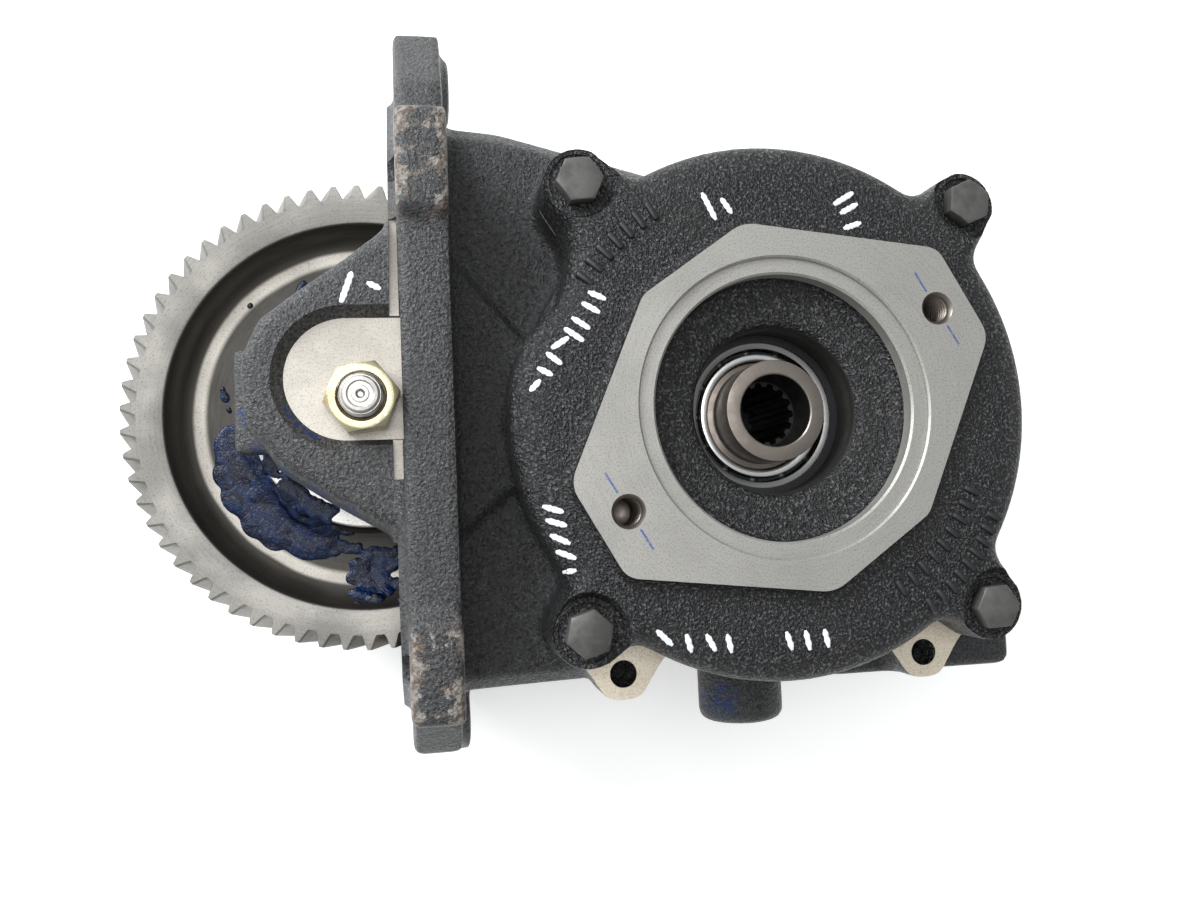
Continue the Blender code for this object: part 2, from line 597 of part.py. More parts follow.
def build_housing():
    body = cover_outline(-1.2)
    ob = prism("housing", body, -50.0, Z_JOINT + 2.0)
    # round gear chamber, tapering to the rear bearing hub
    add(ob, lathe("c", [(0, -122.0), (60.0, -122.0), (88.0, -117.0), (95.5, -108.0),
                        (97.0, -40.0), (0, -40.0)], 36))
    add(ob, lathe("r", [(0, Z_REAR), (47.0, Z_REAR), (48.5, -138.0), (52.0, -120.0),
                        (0, -115.0)], 28))
    # neck between the flange and the chamber
    neck = [(-130.0, 127.0), (-100.0, 124.0), (-24.0, 104.0), (-10.0, -80.0), (-70.0, -104.0),
            (-130.0, -106.0)]
    n = len(neck)
    shrink = [(x, y * 0.94) for x, y in neck]
    add(ob, loft("n", [[(x, y, -118.0) for x, y in shrink], [(x, y, -108.0) for x, y in neck],
                       [(x, y, -56.0) for x, y in neck], [(x, y, -48.0) for x, y in shrink]]))
    # raised wedge of the neck in front of the gear mesh
    add(ob, loft("v", [[(-130, 82, -60), (-130, -56, -60), (-84, -14, -60), (-84, 26, -60)],
                       [(-130, 76, -43), (-130, -50, -43), (-86, -12, -43), (-86, 24, -43)]]))
    # flange plate, its machined land, and spot-faced bosses on its back
    add(ob, prism_x("f", flange_outline(), X_PLATE, X_BACK))
    land = rounded([(78, -20.7), (104, -30.5), (136, -58), (136, -104), (104, -131.5),
                    (78, -141.3), (-72, -141.3), (-96, -131.5), (-110, -104), (-110, -58),
                    (-96, -30.5), (-72, -20.7)], 6, 2)
    add(ob, prism_x("l", land, X_FACE, X_PLATE + 3.0))
    for y in (151.0, -119.0):
        add(ob, prism_x("s", circle(y, -81.0, 14.0, 16), X_PLATE + 8.0, X_BACK + 4.0))
    # yoke ears on both sides of the input gear
    for z0, z1 in (Z_EAR_F, Z_EAR_R):
        add(ob, prism("e", ear_outline(), z0, z1))
    add(ob, box("g", -206.4, -188.0, -8.4, 32.6, -60.0, -45.0))
    add(ob, box("g", -206.4, -188.0, -8.4, 32.6, -117.0, -102.0))
    # foot rail at the lower right, screw lugs under the cover, oil port boss
    rail = rounded([(30.0, -109.0), (112.5, -109.5), (112.5, -84.0), (78.0, -60.0), (30.0, -70.0)],
                   [2, 4, 10, 10, 0], 3)
    add(ob, prism("q", rail, -112.0, -46.0))
    for x, y in ((-61.6, -99.3), (64.1, -99.3)):
        s = 1 if x > 0 else -1
        lug = rounded([(x - 11, y - 9.6), (x + 11, y - 9.6), (x + 26, y + 22), (x - 26, y + 22)],
                      [9, 9, 0, 0], 4)
        add(ob, prism("u", lug, -54.0, Z_JOINT + 2.0))
    add(ob, loft("y", [[(x, -60.0, z) for x, z in circle(-4.6, -64.0, 17.8, 24)],
                       [(x, -124.0, z) for x, z in circle(-4.6, -64.0, 17.8, 24)],
                       [(x, -126.8, z) for x, z in circle(-4.6, -64.0, 14.8, 24)]]))
    for x, y in COVER_BOLTS:
        add(ob, cylinder("o", x, y, 12.9, -62.0, Z_JOINT - 3.0, 16))
    # the joint face and the lugs are milled flat
    cut(ob, box("j", -116.0, 150.0, -150.0, 150.0, Z_JOINT, 10.0))
    # chamber for the output gear and the slot the input gear turns in
    cut(ob, lathe("k", [(0, -20.0), (74.0, -20.0), (74.0, -104.0), (70.0, -107.0),
                        (36.1, -107.0), (36.1, -150.0), (0, -150.0)], 36))
    cut(ob, cylinder("w", AX, AY, 100.0, -97.6, -64.4, 48))
    # idler shaft bores, spot faces and the milled pad round the nut
    cut(ob, cylinder("i", AX, AY, SHAFT_R + 0.4, -150.0, -31.4, 24))
    cut(ob, cylinder("i", AX, AY, 8.4, -60.0, 10.0, 20))
    dpad = [(-140.0, 39.1), (-162.0, 39.1)]
    dpad += [(-162.0 + 22.7 * math.cos(a), 16.4 + 22.7 * math.sin(a))
             for a in (math.pi / 2 + math.pi * k / 12 for k in range(1, 12))]
    dpad += [(-162.0, -6.3), (-140.0, -6.3)]
    cut(ob, prism("p", [(min(x, X_PLATE + 0.4), y) for x, y in dpad], -21.9, 5.0))
    # tapped and drilled holes
    for x, y in COVER_BOLTS:
        cut(ob, lathe("m", [(0, -60.0), (5.25, -58.0), (5.25, 0), (0, 0)], 12, x, y))
    for x, y in DOWELS:
        cut(ob, cylinder("d", x, y, 4.3, -40.5, 0.0, 12))
    for x, y in ((-61.6, -99.3), (64.1, -99.3)):
        cut(ob, cylinder("m", x, y, 8.4, Z_LUG, -20.0, 24))
        cut(ob, lathe("m", [(0, -50.0), (4.3, -48.0), (4.3, -32.3), (5.3, -31.0), (5.3, -20.0),
                            (0, -20.0)], 16, x, y))
    for y, z in FLANGE_BOLTS:
        cut(ob, prism_x("m", circle(y, z, 6.3, 14), -160.0, -100.0))
    cut(ob, loft("y", [[(x, -150.0, z) for x, z in circle(-4.6, -64.0, 9.4, 16)],
                       [(x, -110.0, z) for x, z in circle(-4.6, -64.0, 9.4, 16)],
                       [(x, -109.9, z) for x, z in circle(-4.6, -64.0, 6.0, 16)],
                       [(x, -65.0, z) for x, z in circle(-4.6, -64.0, 6.0, 16)]]))
    for i in range(4):
        a = math.radians(45 + 90 * i)
        cut(ob, cylinder("m", 41.5 * math.cos(a), 41.5 * math.sin(a), 3.3, -150.0, -118.0, 10))
    tidy(ob)
    return paint(ob, "black_cast_iron")


def build_rear():
    obs = []
    gasket = lathe("rear_cap_gasket", [(36.6, -140.5), (46.6, -140.5), (46.6, -139.9),
                                       (36.6, -139.9)], 28)
    for i in range(4):
        a = math.radians(45 + 90 * i)
        cut(gasket, cylinder("m", 41.5 * math.cos(a), 41.5 * math.sin(a), 3.6, -150, -130, 10))
    obs.append(paint(gasket, "gasket_paper"))
    cap = lathe("rear_cap", [(0, Z_BASE), (46.0, Z_BASE), (47.0, Z_BASE + 1.0), (47.0, -140.8),
                             (35.7, -140.8), (35.7, -127.9), (31.0, -127.9), (31.0, -141.5),
                             (0, -141.5)], 28)
    for i in range(4):
        a = math.radians(45 + 90 * i)
        cut(cap, lathe("m", [(0, -160.0), (5.8, -160.0), (5.8, -146.8), (3.6, -146.8),
                             (3.6, -130.0), (0, -130.0)], 12,
                       41.5 * math.cos(a), 41.5 * math.sin(a)))
    tidy(cap)
    obs.append(paint(cap, "black_cast_iron"))
    for i in range(4):
        a = math.radians(45 + 90 * i)
        x, y = 41.5 * math.cos(a), 41.5 * math.sin(a)
        s = lathe("rear_cap_screw_%d" % (i + 1), [(0, -121.0), (2.9, -121.0), (2.9, -147.1),
                                                  (5.0, -147.1), (5.0, -153.2), (2.9, -153.2),
                                                  (2.9, -150.2), (0, -150.2)], 12, x, y)
        obs.append(paint(s, "black_oxide"))
    return obs


def build_small():
    obs = []
    shim = lathe("preload_shim", [(29.5, -29.9), (33.8, -29.9), (33.8, -31.0), (29.5, -31.0)], 32)
    obs.append(paint(shim, "black_oxide"))
    ring = lathe("bearing_snap_ring", [(31.2, -43.75), (35.3, -43.75), (35.3, -45.2),
                                       (31.2, -45.2)], 28)
    cut(ring, box("g", 25, 40, -3.0, 3.0, -50, -40))
    obs.append(paint(ring, "black_oxide"))
    for i, (x, y) in enumerate(DOWELS):
        d = cylinder("dowel_pin_%d" % (i + 1), x, y, 3.95, -40.0, -22.0, 12)
        obs.append(paint(d, "ground_steel"))
    plug = loft("port_plug", [[(x, -112.0, z) for x, z in circle(-4.6, -64.0, 9.0, 16)],
                              [(x, -126.4, z) for x, z in circle(-4.6, -64.0, 9.0, 16)]])
    cut(plug, prism_y("x", circle(-4.6, -64.0, 4.6, 6), -140.0, -119.0))
    tidy(plug)
    obs.append(paint(plug, "bolt_steel"))
    return obs


def stand_on_base():
    """Parent every piece to one empty, so that the base centre is the origin."""
    lo = Vector((1e9, 1e9, 1e9))
    hi = -lo
    pieces = [ob for ob in bpy.data.objects if ob.type == "MESH"]
    for ob in pieces:
        for v in ob.data.vertices:
            p = v.co + ob.location
            lo = Vector(map(min, lo, p))
            hi = Vector(map(max, hi, p))
    root = bpy.data.objects.new("gearbox", None)
    bpy.context.scene.collection.objects.link(root)
    root.location = (-(lo.x + hi.x) / 2, -(lo.y + hi.y) / 2, -lo.z)
    for ob in pieces:
        ob.parent = root
    return root


def main():
    wipe()
    build_housing()
    build_cover()
    build_gasket()
    for i, (tag, turn) in enumerate((("tl", 0.10), ("tr", 0.42), ("bl", 0.30), ("br", 0.05))):
        x, y = COVER_BOLTS[i]
        hex_bolt("cover_bolt_" + tag, x, y, turn)
    build_input_gear()
    build_output_gear()
    build_output_shaft()
    build_shaft_parts()
    ball_bearing("front_bearing", 22.4, 25.1, 27.1, 33.8, -43.3, -31.3, 2.6, 13, 0.35)
    ball_bearing("rear_bearing", 17.7, 23.4, 30.0, 35.75, -127.5, -110.5, 5.0, 8, 0.35)
    build_idler_parts()
    build_rear()
    build_small()
    stand_on_base()


main()
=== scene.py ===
import json
import math
import random

import bmesh
import bpy
import numpy as np
from mathutils import Matrix, Vector


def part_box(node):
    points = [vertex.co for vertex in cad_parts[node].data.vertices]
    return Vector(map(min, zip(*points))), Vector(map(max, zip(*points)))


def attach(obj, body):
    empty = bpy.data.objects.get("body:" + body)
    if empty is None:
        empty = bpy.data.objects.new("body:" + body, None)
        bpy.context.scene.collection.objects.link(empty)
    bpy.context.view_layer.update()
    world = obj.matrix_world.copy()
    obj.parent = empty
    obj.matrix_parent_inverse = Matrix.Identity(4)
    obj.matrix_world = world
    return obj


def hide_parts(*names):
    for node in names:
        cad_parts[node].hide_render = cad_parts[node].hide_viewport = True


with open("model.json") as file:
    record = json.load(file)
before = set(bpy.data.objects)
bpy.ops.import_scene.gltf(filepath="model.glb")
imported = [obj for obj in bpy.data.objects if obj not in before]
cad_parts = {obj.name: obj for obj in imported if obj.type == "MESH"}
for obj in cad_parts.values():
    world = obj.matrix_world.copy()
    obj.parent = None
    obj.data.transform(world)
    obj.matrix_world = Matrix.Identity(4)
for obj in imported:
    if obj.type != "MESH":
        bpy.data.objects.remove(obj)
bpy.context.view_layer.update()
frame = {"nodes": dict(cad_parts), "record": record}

MM = 0.001

# The shapes below are in millimetres from the centre of the pump pad face.
# SHIFT takes them to the row frame, read off the CAD pieces.
_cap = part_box("rear_cap")
SHIFT = Vector(((_cap[0][0] + _cap[1][0]) / 2, (_cap[0][1] + _cap[1][1]) / 2,
                _cap[0][2] + 0.154))

TEETH_IN = 63
AX, AY = -156.5, 8.5
TEETH_OUT = 42
M_T = 2.0 * math.hypot(AX, AY) / (TEETH_IN + TEETH_OUT)
M_N = 2.822
HELIX = math.acos(M_N / M_T)
ALPHA_T = math.atan(math.tan(math.radians(20.0)) / math.cos(HELIX))
FLANK_RELIEF = 0.21
ZM = -81.0
Z_COVER, Z_JOINT, Z_REAR = -29.5, -30.9, -139.6
COVER_R, LOBE_R = 103.3, 14.0
COVER_BOLTS = [(-74.5, 88.0), (83.5, 81.5), (-78.0, -80.5), (84.0, -80.0)]
X_FACE, X_PLATE, X_BACK = -145.5, -142.5, -123.0
PUMP_A = math.radians(30.3)

SCENE = bpy.context.scene


# ------------------------------------------------------------------ geometry
def obj_from(name, verts, faces, smooth=30.0):
    me = bpy.data.meshes.new(name)
    me.from_pydata([(v[0] * MM + SHIFT.x, v[1] * MM + SHIFT.y, v[2] * MM + SHIFT.z)
                    for v in verts], [], faces)
    bm = bmesh.new()
    bm.from_mesh(me)
    bmesh.ops.remove_doubles(bm, verts=bm.verts, dist=1e-7)
    bmesh.ops.recalc_face_normals(bm, faces=bm.faces)
    bm.to_mesh(me)
    bm.free()
    ob = bpy.data.objects.new(name, me)
    SCENE.collection.objects.link(ob)
    if smooth is not None:
        me.shade_smooth()
        me.set_sharp_from_angle(angle=math.radians(smooth))
    return ob


def lathe(name, profile, seg=128, x=0.0, y=0.0, smooth=30.0):
    verts, faces, rings = [], [], []
    for r, z in profile:
        if r < 1e-9:
            verts.append((x, y, z))
            rings.append([len(verts) - 1] * seg)
        else:
            base = len(verts)
            for i in range(seg):
                a = 2 * math.pi * i / seg
                verts.append((x + r * math.cos(a), y + r * math.sin(a), z))
            rings.append(list(range(base, base + seg)))
    for k in range(len(rings)):
        a, b = rings[k], rings[(k + 1) % len(rings)]
        for i in range(seg):
            j = (i + 1) % seg
            q = []
            for v in (a[i], a[j], b[j], b[i]):
                if v not in q:
                    q.append(v)
            if len(q) >= 3:
                faces.append(q)
    return obj_from(name, verts, faces, smooth)


def cyl(name, x, y, r, z0, z1, seg=64):
    return lathe(name, [(0, z0), (r, z0), (r, z1), (0, z1)], seg, x, y)


def loft(name, rings, smooth=30.0):
    verts, faces = [], []
    n = len(rings[0])
    for ring in rings:
        verts += [tuple(p) for p in ring]
    for k in range(len(rings) - 1):
        for i in range(n):
            j = (i + 1) % n
            faces.append((k * n + i, k * n + j, (k + 1) * n + j, (k + 1) * n + i))
    faces.append(tuple(range(n)))
    faces.append(tuple(range((len(rings) - 1) * n, len(rings) * n)))
    return obj_from(name, verts, faces, smooth)


def prism(name, outline, z0, z1):
    return loft(name, [[(p[0], p[1], z0) for p in outline], [(p[0], p[1], z1) for p in outline]])


def prism_x(name, outline, x0, x1):
    return loft(name, [[(x0, p[0], p[1]) for p in outline], [(x1, p[0], p[1]) for p in outline]])


def prism_y(name, outline, y0, y1):
    return loft(name, [[(p[0], y0, p[1]) for p in outline], [(p[0], y1, p[1]) for p in outline]])


def box(name, x0, x1, y0, y1, z0, z1):
    return prism(name, [(x0, y0), (x1, y0), (x1, y1), (x0, y1)], z0, z1)


def circle(cx, cy, r, seg=64, phase=0.0):
    return [(cx + r * math.cos(phase + 2 * math.pi * i / seg),
             cy + r * math.sin(phase + 2 * math.pi * i / seg)) for i in range(seg)]


def rounded(points, radii, seg=8):
    out = []
    n = len(points)
    for i, p in enumerate(points):
        r = radii[i] if isinstance(radii, (list, tuple)) else radii
        p = Vector(p)
        a = Vector(points[i - 1]) - p
        b = Vector(points[(i + 1) % n]) - p
        la, lb = a.length, b.length
        a.normalize()
        b.normalize()
        half = a.angle(b) / 2
        if r <= 0 or half > math.pi / 2 - 0.02:
            out.append((p.x, p.y))
            continue
        d = min(r / math.tan(half), 0.45 * la, 0.45 * lb)
        rr = d * math.tan(half)
        c = p + (a + b).normalized() * (rr / math.sin(half))
        s = p + a * d - c
        e = p + b * d - c
        total = math.atan2(s.x * e.y - s.y * e.x, s.dot(e))
        for k in range(seg + 1):
            t = total * k / seg
            out.append((c.x + s.x * math.cos(t) - s.y * math.sin(t),
                        c.y + s.x * math.sin(t) + s.y * math.cos(t)))
    return out


def bake_modifiers(ob):
    deps = bpy.context.evaluated_depsgraph_get()
    me = bpy.data.meshes.new_from_object(ob.evaluated_get(deps))
    ob.modifiers.clear()
    old = ob.data
    ob.data = me
    bpy.data.meshes.remove(old)
    return ob


def drop(*obs):
    for o in obs:
        bpy.data.objects.remove(o, do_unlink=True)


def merge(name, obs):
    """One mesh out of several overlapping closed ones."""
    bm = bmesh.new()
    for o in obs:
        bm.from_mesh(o.data)
    me = bpy.data.meshes.new(name)
    bm.to_mesh(me)
    bm.free()
    drop(*obs)
    ob = bpy.data.objects.new(name, me)
    SCENE.collection.objects.link(ob)
    return ob


def cast(ob, voxel, rounds, factor=0.5):
    """Turns overlapping solids into one sand casting with soft edges."""
    mod = ob.modifiers.new("r", "REMESH")
    mod.mode = "VOXEL"
    mod.voxel_size = voxel * MM
    mod.adaptivity = 0.0
    sm = ob.modifiers.new("s", "SMOOTH")
    sm.factor = factor
    sm.iterations = rounds
    bake_modifiers(ob)
    ob.data.shade_smooth()
    return ob


def cut(ob, cutter, slot=None, solver="MANIFOLD", operation="DIFFERENCE"):
    """Machines cutter out of ob. slot is not used."""
    n0 = len(ob.data.materials)
    mod = ob.modifiers.new("b", "BOOLEAN")
    mod.operation = operation
    mod.object = cutter
    mod.solver = solver
    bake_modifiers(ob)
    drop(cutter)
    return ob


def own(ob, mats, slot_of=None):
    ob.data.materials.clear()
    for m in (mats if isinstance(mats, (list, tuple)) else [mats]):
        ob.data.materials.append(m)
    return ob


# ----------------------------------------------------------------- materials
class Nodes:
    """Small helper to write a node tree."""

    def __init__(self, name):
        self.mat = bpy.data.materials.new(name)
        self.mat.use_nodes = True
        self.t = self.mat.node_tree
        self.bsdf = self.t.nodes["Principled BSDF"]
        self._pos = None

    def add(self, kind, **props):
        n = self.t.nodes.new(kind)
        for k, v in props.items():
            setattr(n, k, v)
        return n

    def put(self, sock, value):
        if isinstance(value, bpy.types.NodeSocket):
            self.t.links.new(value, sock)
        else:
            sock.default_value = value

    def pos(self):
        if self._pos is None:
            self._pos = self.add("ShaderNodeTexCoord").outputs["Object"]
        return self._pos

    def noise(self, scale, detail=2.0, rough=0.5, distortion=0.0, vec=None):
        n = self.add("ShaderNodeTexNoise")
        self.put(n.inputs["Vector"], vec if vec is not None else self.pos())
        n.inputs["Scale"].default_value = scale
        n.inputs["Detail"].default_value = detail
        n.inputs["Roughness"].default_value = rough
        n.inputs["Distortion"].default_value = distortion
        return n.outputs["Fac"]

    def voronoi(self, scale, vec=None, feature="F1", out="Distance"):
        n = self.add("ShaderNodeTexVoronoi", feature=feature)
        self.put(n.inputs["Vector"], vec if vec is not None else self.pos())
        n.inputs["Scale"].default_value = scale
        return n.outputs[out]

    def math(self, op, a, b=0.0, c=0.0, clamp=False):
        n = self.add("ShaderNodeMath", operation=op, use_clamp=clamp)
        self.put(n.inputs[0], a)
        self.put(n.inputs[1], b)
        if len(n.inputs) > 2:
            self.put(n.inputs[2], c)
        return n.outputs[0]

    def ramp(self, fac, lo, hi, a=0.0, b=1.0):
        n = self.add("ShaderNodeMapRange")
        n.interpolation_type = "SMOOTHSTEP"
        self.put(n.inputs["Value"], fac)
        n.inputs["From Min"].default_value = lo
        n.inputs["From Max"].default_value = hi
        n.inputs["To Min"].default_value = a
        n.inputs["To Max"].default_value = b
        return n.outputs[0]

    def mix(self, fac, a, b):
        n = self.add("ShaderNodeMix", data_type="RGBA")
        self.put(n.inputs["Factor"], fac)
        self.put(n.inputs["A"] if False else n.inputs[6], a if isinstance(a, bpy.types.NodeSocket) else (*a, 1.0))
        self.put(n.inputs[7], b if isinstance(b, bpy.types.NodeSocket) else (*b, 1.0))
        return n.outputs[2]

    def xyz(self, vec=None):
        n = self.add("ShaderNodeSeparateXYZ")
        self.put(n.inputs[0], vec if vec is not None else self.pos())
        return n.outputs

    def moved(self, offset, scale=(1, 1, 1)):
        n = self.add("ShaderNodeMapping")
        self.put(n.inputs["Vector"], self.pos())
        n.inputs["Location"].default_value = offset
        n.inputs["Scale"].default_value = scale
        return n.outputs[0]

    def bump(self, height, strength, distance, normal=None):
        n = self.add("ShaderNodeBump")
        self.put(n.inputs["Height"], height)
        n.inputs["Strength"].default_value = strength
        n.inputs["Distance"].default_value = distance
        if normal is not None:
            self.put(n.inputs["Normal"], normal)
        return n.outputs[0]

    def set(self, **kw):
        names = {"color": "Base Color", "rough": "Roughness", "metal": "Metallic",
                 "normal": "Normal", "coat": "Coat Weight", "coat_rough": "Coat Roughness",
                 "spec": "Specular IOR Level"}
        for k, v in kw.items():
            sock = self.bsdf.inputs[names[k]]
            if k == "color" and not isinstance(v, bpy.types.NodeSocket):
                v = (*v, 1.0)
            self.put(sock, v)
        return self.mat


def radial(n, cx, cy):
    """Distance and angle about a vertical axis at cx, cy in millimetres."""
    x, y, _ = n.xyz()[0:3]
    dx = n.math("SUBTRACT", x, cx * MM + SHIFT.x)
    dy = n.math("SUBTRACT", y, cy * MM + SHIFT.y)
    r = n.math("SQRT", n.math("ADD", n.math("MULTIPLY", dx, dx), n.math("MULTIPLY", dy, dy)))
    a = n.math("ARCTAN2", dy, dx)
    return r, a, dx, dy


def black_casting():
    n = Nodes("black_cast_paint")
    big = n.noise(26.0, 3.0, 0.55)
    mid = n.noise(210.0, 3.0, 0.6)
    grain = n.noise(760.0, 2.5, 0.62)
    pits = n.voronoi(430.0)
    coarse = n.noise(900.0, 2.0, 0.62, 0.15)
    color = n.mix(n.ramp(grain, 0.40, 0.70), (0.0016, 0.0016, 0.0018), (0.010, 0.010, 0.011))
    # the lightest speckle at the coarse grain's peaks is a painted glint: sparkle highlights put into the colour
    color = n.mix(n.ramp(coarse, 0.52, 0.70), color, (0.095, 0.094, 0.094))
    color = n.mix(n.ramp(big, 0.50, 0.78, 0.0, 0.35), color, (0.020, 0.019, 0.019))
    # surfaces more than 34 to 44 mm below the pad face get a lighter, mottled grey
    x, y, z = n.xyz()[0:3]
    low = n.math("MULTIPLY", n.ramp(z, SHIFT.z - 0.034, SHIFT.z - 0.044), n.ramp(grain, 0.36, 0.60, 0.2, 0.8))
    color = n.mix(low, color, (0.044, 0.044, 0.045))
    # the flange beyond x = -118 mm is lighter: partly dust, partly a painted sheen where its face turns to the
    # light
    dust_and_sheen = n.math("MULTIPLY", n.ramp(x, SHIFT.x - 0.1180, SHIFT.x - 0.1230), n.ramp(grain, 0.36, 0.62, 0.15, 0.75))
    color = n.mix(dust_and_sheen, color, (0.060, 0.059, 0.060))
    # bare, rusty metal where the edges of the flange have been knocked
    edge = n.ramp(z, SHIFT.z - 0.0235, SHIFT.z - 0.0075)
    left = n.ramp(x, SHIFT.x - 0.1195, SHIFT.x - 0.1235)
    ends = n.math("MAXIMUM", n.ramp(y, SHIFT.y + 0.070, SHIFT.y + 0.082),
                  n.ramp(y, SHIFT.y - 0.070, SHIFT.y - 0.080))
    inx = n.math("ABSOLUTE", n.math("SUBTRACT", x, SHIFT.x - 0.1335))
    rim = n.ramp(inx, 0.0025, 0.0088)
    chip = n.ramp(n.math("ADD", n.noise(120.0, 5.0, 0.68), n.math("MULTIPLY", rim, 0.17)), 0.57, 0.63)
    wear = n.math("MULTIPLY", n.math("MULTIPLY", chip, edge), n.math("MULTIPLY", left, ends))
    rust = n.mix(n.ramp(n.noise(330.0, 3.0, 0.6), 0.40, 0.62), (0.095, 0.060, 0.040), (0.27, 0.255, 0.23))
    color = n.mix(n.math("MULTIPLY", wear, 0.85), color, rust)
    # smears of blue grease round the nut pad, the ear and the port boss
    smear = None
    for cx, cy, rad in ((-184.0, 1.0, 8.0), (-178.0, -5.5, 8.0), (-196.0, -9.0, 7.0), (-187.0, -19.0, 8.0),
                        (-176.0, -27.0, 8.0), (-164.0, -34.0, 6.5), (-201.0, 6.0, 5.0), (-17.0, -116.0, 9.0)):
        px = n.math("SUBTRACT", x, cx * MM + SHIFT.x)
        py = n.math("SUBTRACT", y, cy * MM + SHIFT.y)
        dd = n.math("SQRT", n.math("ADD", n.math("MULTIPLY", px, px), n.math("MULTIPLY", py, py)))
        m = n.ramp(dd, rad * MM, rad * 0.45 * MM)
        smear = m if smear is None else n.math("MAXIMUM", smear, m)
    smear = n.math("MULTIPLY", smear, n.ramp(n.noise(300.0, 3.0, 0.6, 0.8), 0.40, 0.60))
    smear = n.math("MULTIPLY", smear, n.ramp(z, SHIFT.z - 0.0188, SHIFT.z - 0.0200))
    smear = n.math("MULTIPLY", smear, n.ramp(z, SHIFT.z - 0.0700, SHIFT.z - 0.0640))
    color = n.mix(smear, color, (0.006, 0.022, 0.085))
    rough = n.ramp(coarse, 0.40, 0.66, 0.46, 0.30)
    h = n.math("ADD", n.math("MULTIPLY", mid, 0.6), n.math("MULTIPLY", grain, 0.45))
    h = n.math("ADD", h, n.math("MULTIPLY", coarse, 0.9))
    h = n.math("SUBTRACT", h, n.math("MULTIPLY", n.ramp(pits, 0.0, 0.35, 1.0, 0.0), 0.18))
    # the ear is brushed over more thickly, so its skin is softer
    h = n.math("MULTIPLY", h, n.ramp(x, SHIFT.x - 0.1180, SHIFT.x - 0.1420, 1.0, 0.55))
    n.set(color=color, rough=rough, metal=0.0, normal=n.bump(h, 1.0, 0.0013), spec=0.43)
    return n.mat


def machined(name="machined_iron", tint=(0.355, 0.345, 0.32), axis=None, rough=(0.34, 0.52), metal=0.75, ink=False):
    """Turned or milled bare iron: fine rings about an axis, dulled in patches."""
    n = Nodes(name)
    patch = n.noise(30.0, 4.0, 0.6)
    speck = n.noise(1500.0, 2.0, 0.6)
    dark = tuple(c * 0.86 for c in tint)
    color = n.mix(n.ramp(patch, 0.35, 0.7), tint, dark)
    color = n.mix(n.ramp(speck, 0.50, 0.66, 0.0, 0.62), color, tuple(c * 0.50 for c in tint))
    if axis is None:
        v = n.moved((0, 0, 0), (1.0, 14.0, 1.0))
        lines = n.noise(420.0, 2.0, 0.5, vec=v)
    else:
        r, a, dx, dy = radial(n, *axis)
        c = n.add("ShaderNodeCombineXYZ")
        n.put(c.inputs[0], n.math("MULTIPLY", r, 1.0))
        n.put(c.inputs[1], n.math("MULTIPLY", a, 0.002))
        lines = n.noise(2300.0, 2.0, 0.5, vec=c.outputs[0])
    color = n.mix(n.ramp(lines, 0.42, 0.62, 0.0, 0.16), color, tuple(min(1.0, c * 1.35) for c in tint))
    if ink:
        x, y, _ = n.xyz()[0:3]
        px = n.math("SUBTRACT", x, SHIFT.x)
        py = n.math("SUBTRACT", y, SHIFT.y)
        cu, su = math.cos(PUMP_A), math.sin(PUMP_A)
        u = n.math("ABSOLUTE", n.math("ADD", n.math("MULTIPLY", px, cu), n.math("MULTIPLY", py, su)))
        v = n.math("SUBTRACT", n.math("MULTIPLY", py, cu), n.math("MULTIPLY", px, su))
        du = n.math("ABSOLUTE", n.math("SUBTRACT", u, 0.0728))
        dv = n.math("ABSOLUTE", v)
        line = n.math("MULTIPLY", n.ramp(du, 0.0006, 0.0002), n.math("MULTIPLY", n.ramp(dv, 0.0074, 0.0080),
                                                                      n.ramp(dv, 0.0168, 0.0160)))
        line = n.math("MULTIPLY", line, n.ramp(speck, 0.35, 0.55, 0.35, 0.9))
        color = n.mix(line, color, (0.035, 0.075, 0.30))
    rg = n.ramp(patch, 0.3, 0.7, rough[0], rough[1])
    n.set(color=color, rough=rg, metal=metal,
          normal=n.bump(n.math("ADD", lines, n.math("MULTIPLY", speck, 0.5)), 0.16, 0.00012))
    return n.mat


def plain_metal(name, tint, rough=0.3, metal=1.0, grain=900.0, strength=0.10, vary=0.25):
    n = Nodes(name)
    patch = n.noise(90.0, 3.0, 0.6)
    speck = n.noise(grain, 2.0, 0.6)
    color = n.mix(n.ramp(patch, 0.35, 0.68), tint, tuple(c * (1.0 - vary) for c in tint))
    color = n.mix(n.ramp(speck, 0.58, 0.76, 0.0, 0.4), color, tuple(c * 0.6 for c in tint))
    rg = n.ramp(patch, 0.3, 0.7, rough * 0.85, min(1.0, rough * 1.3))
    n.set(color=color, rough=rg, metal=metal, normal=n.bump(speck, strength, 0.0002))
    return n.mat


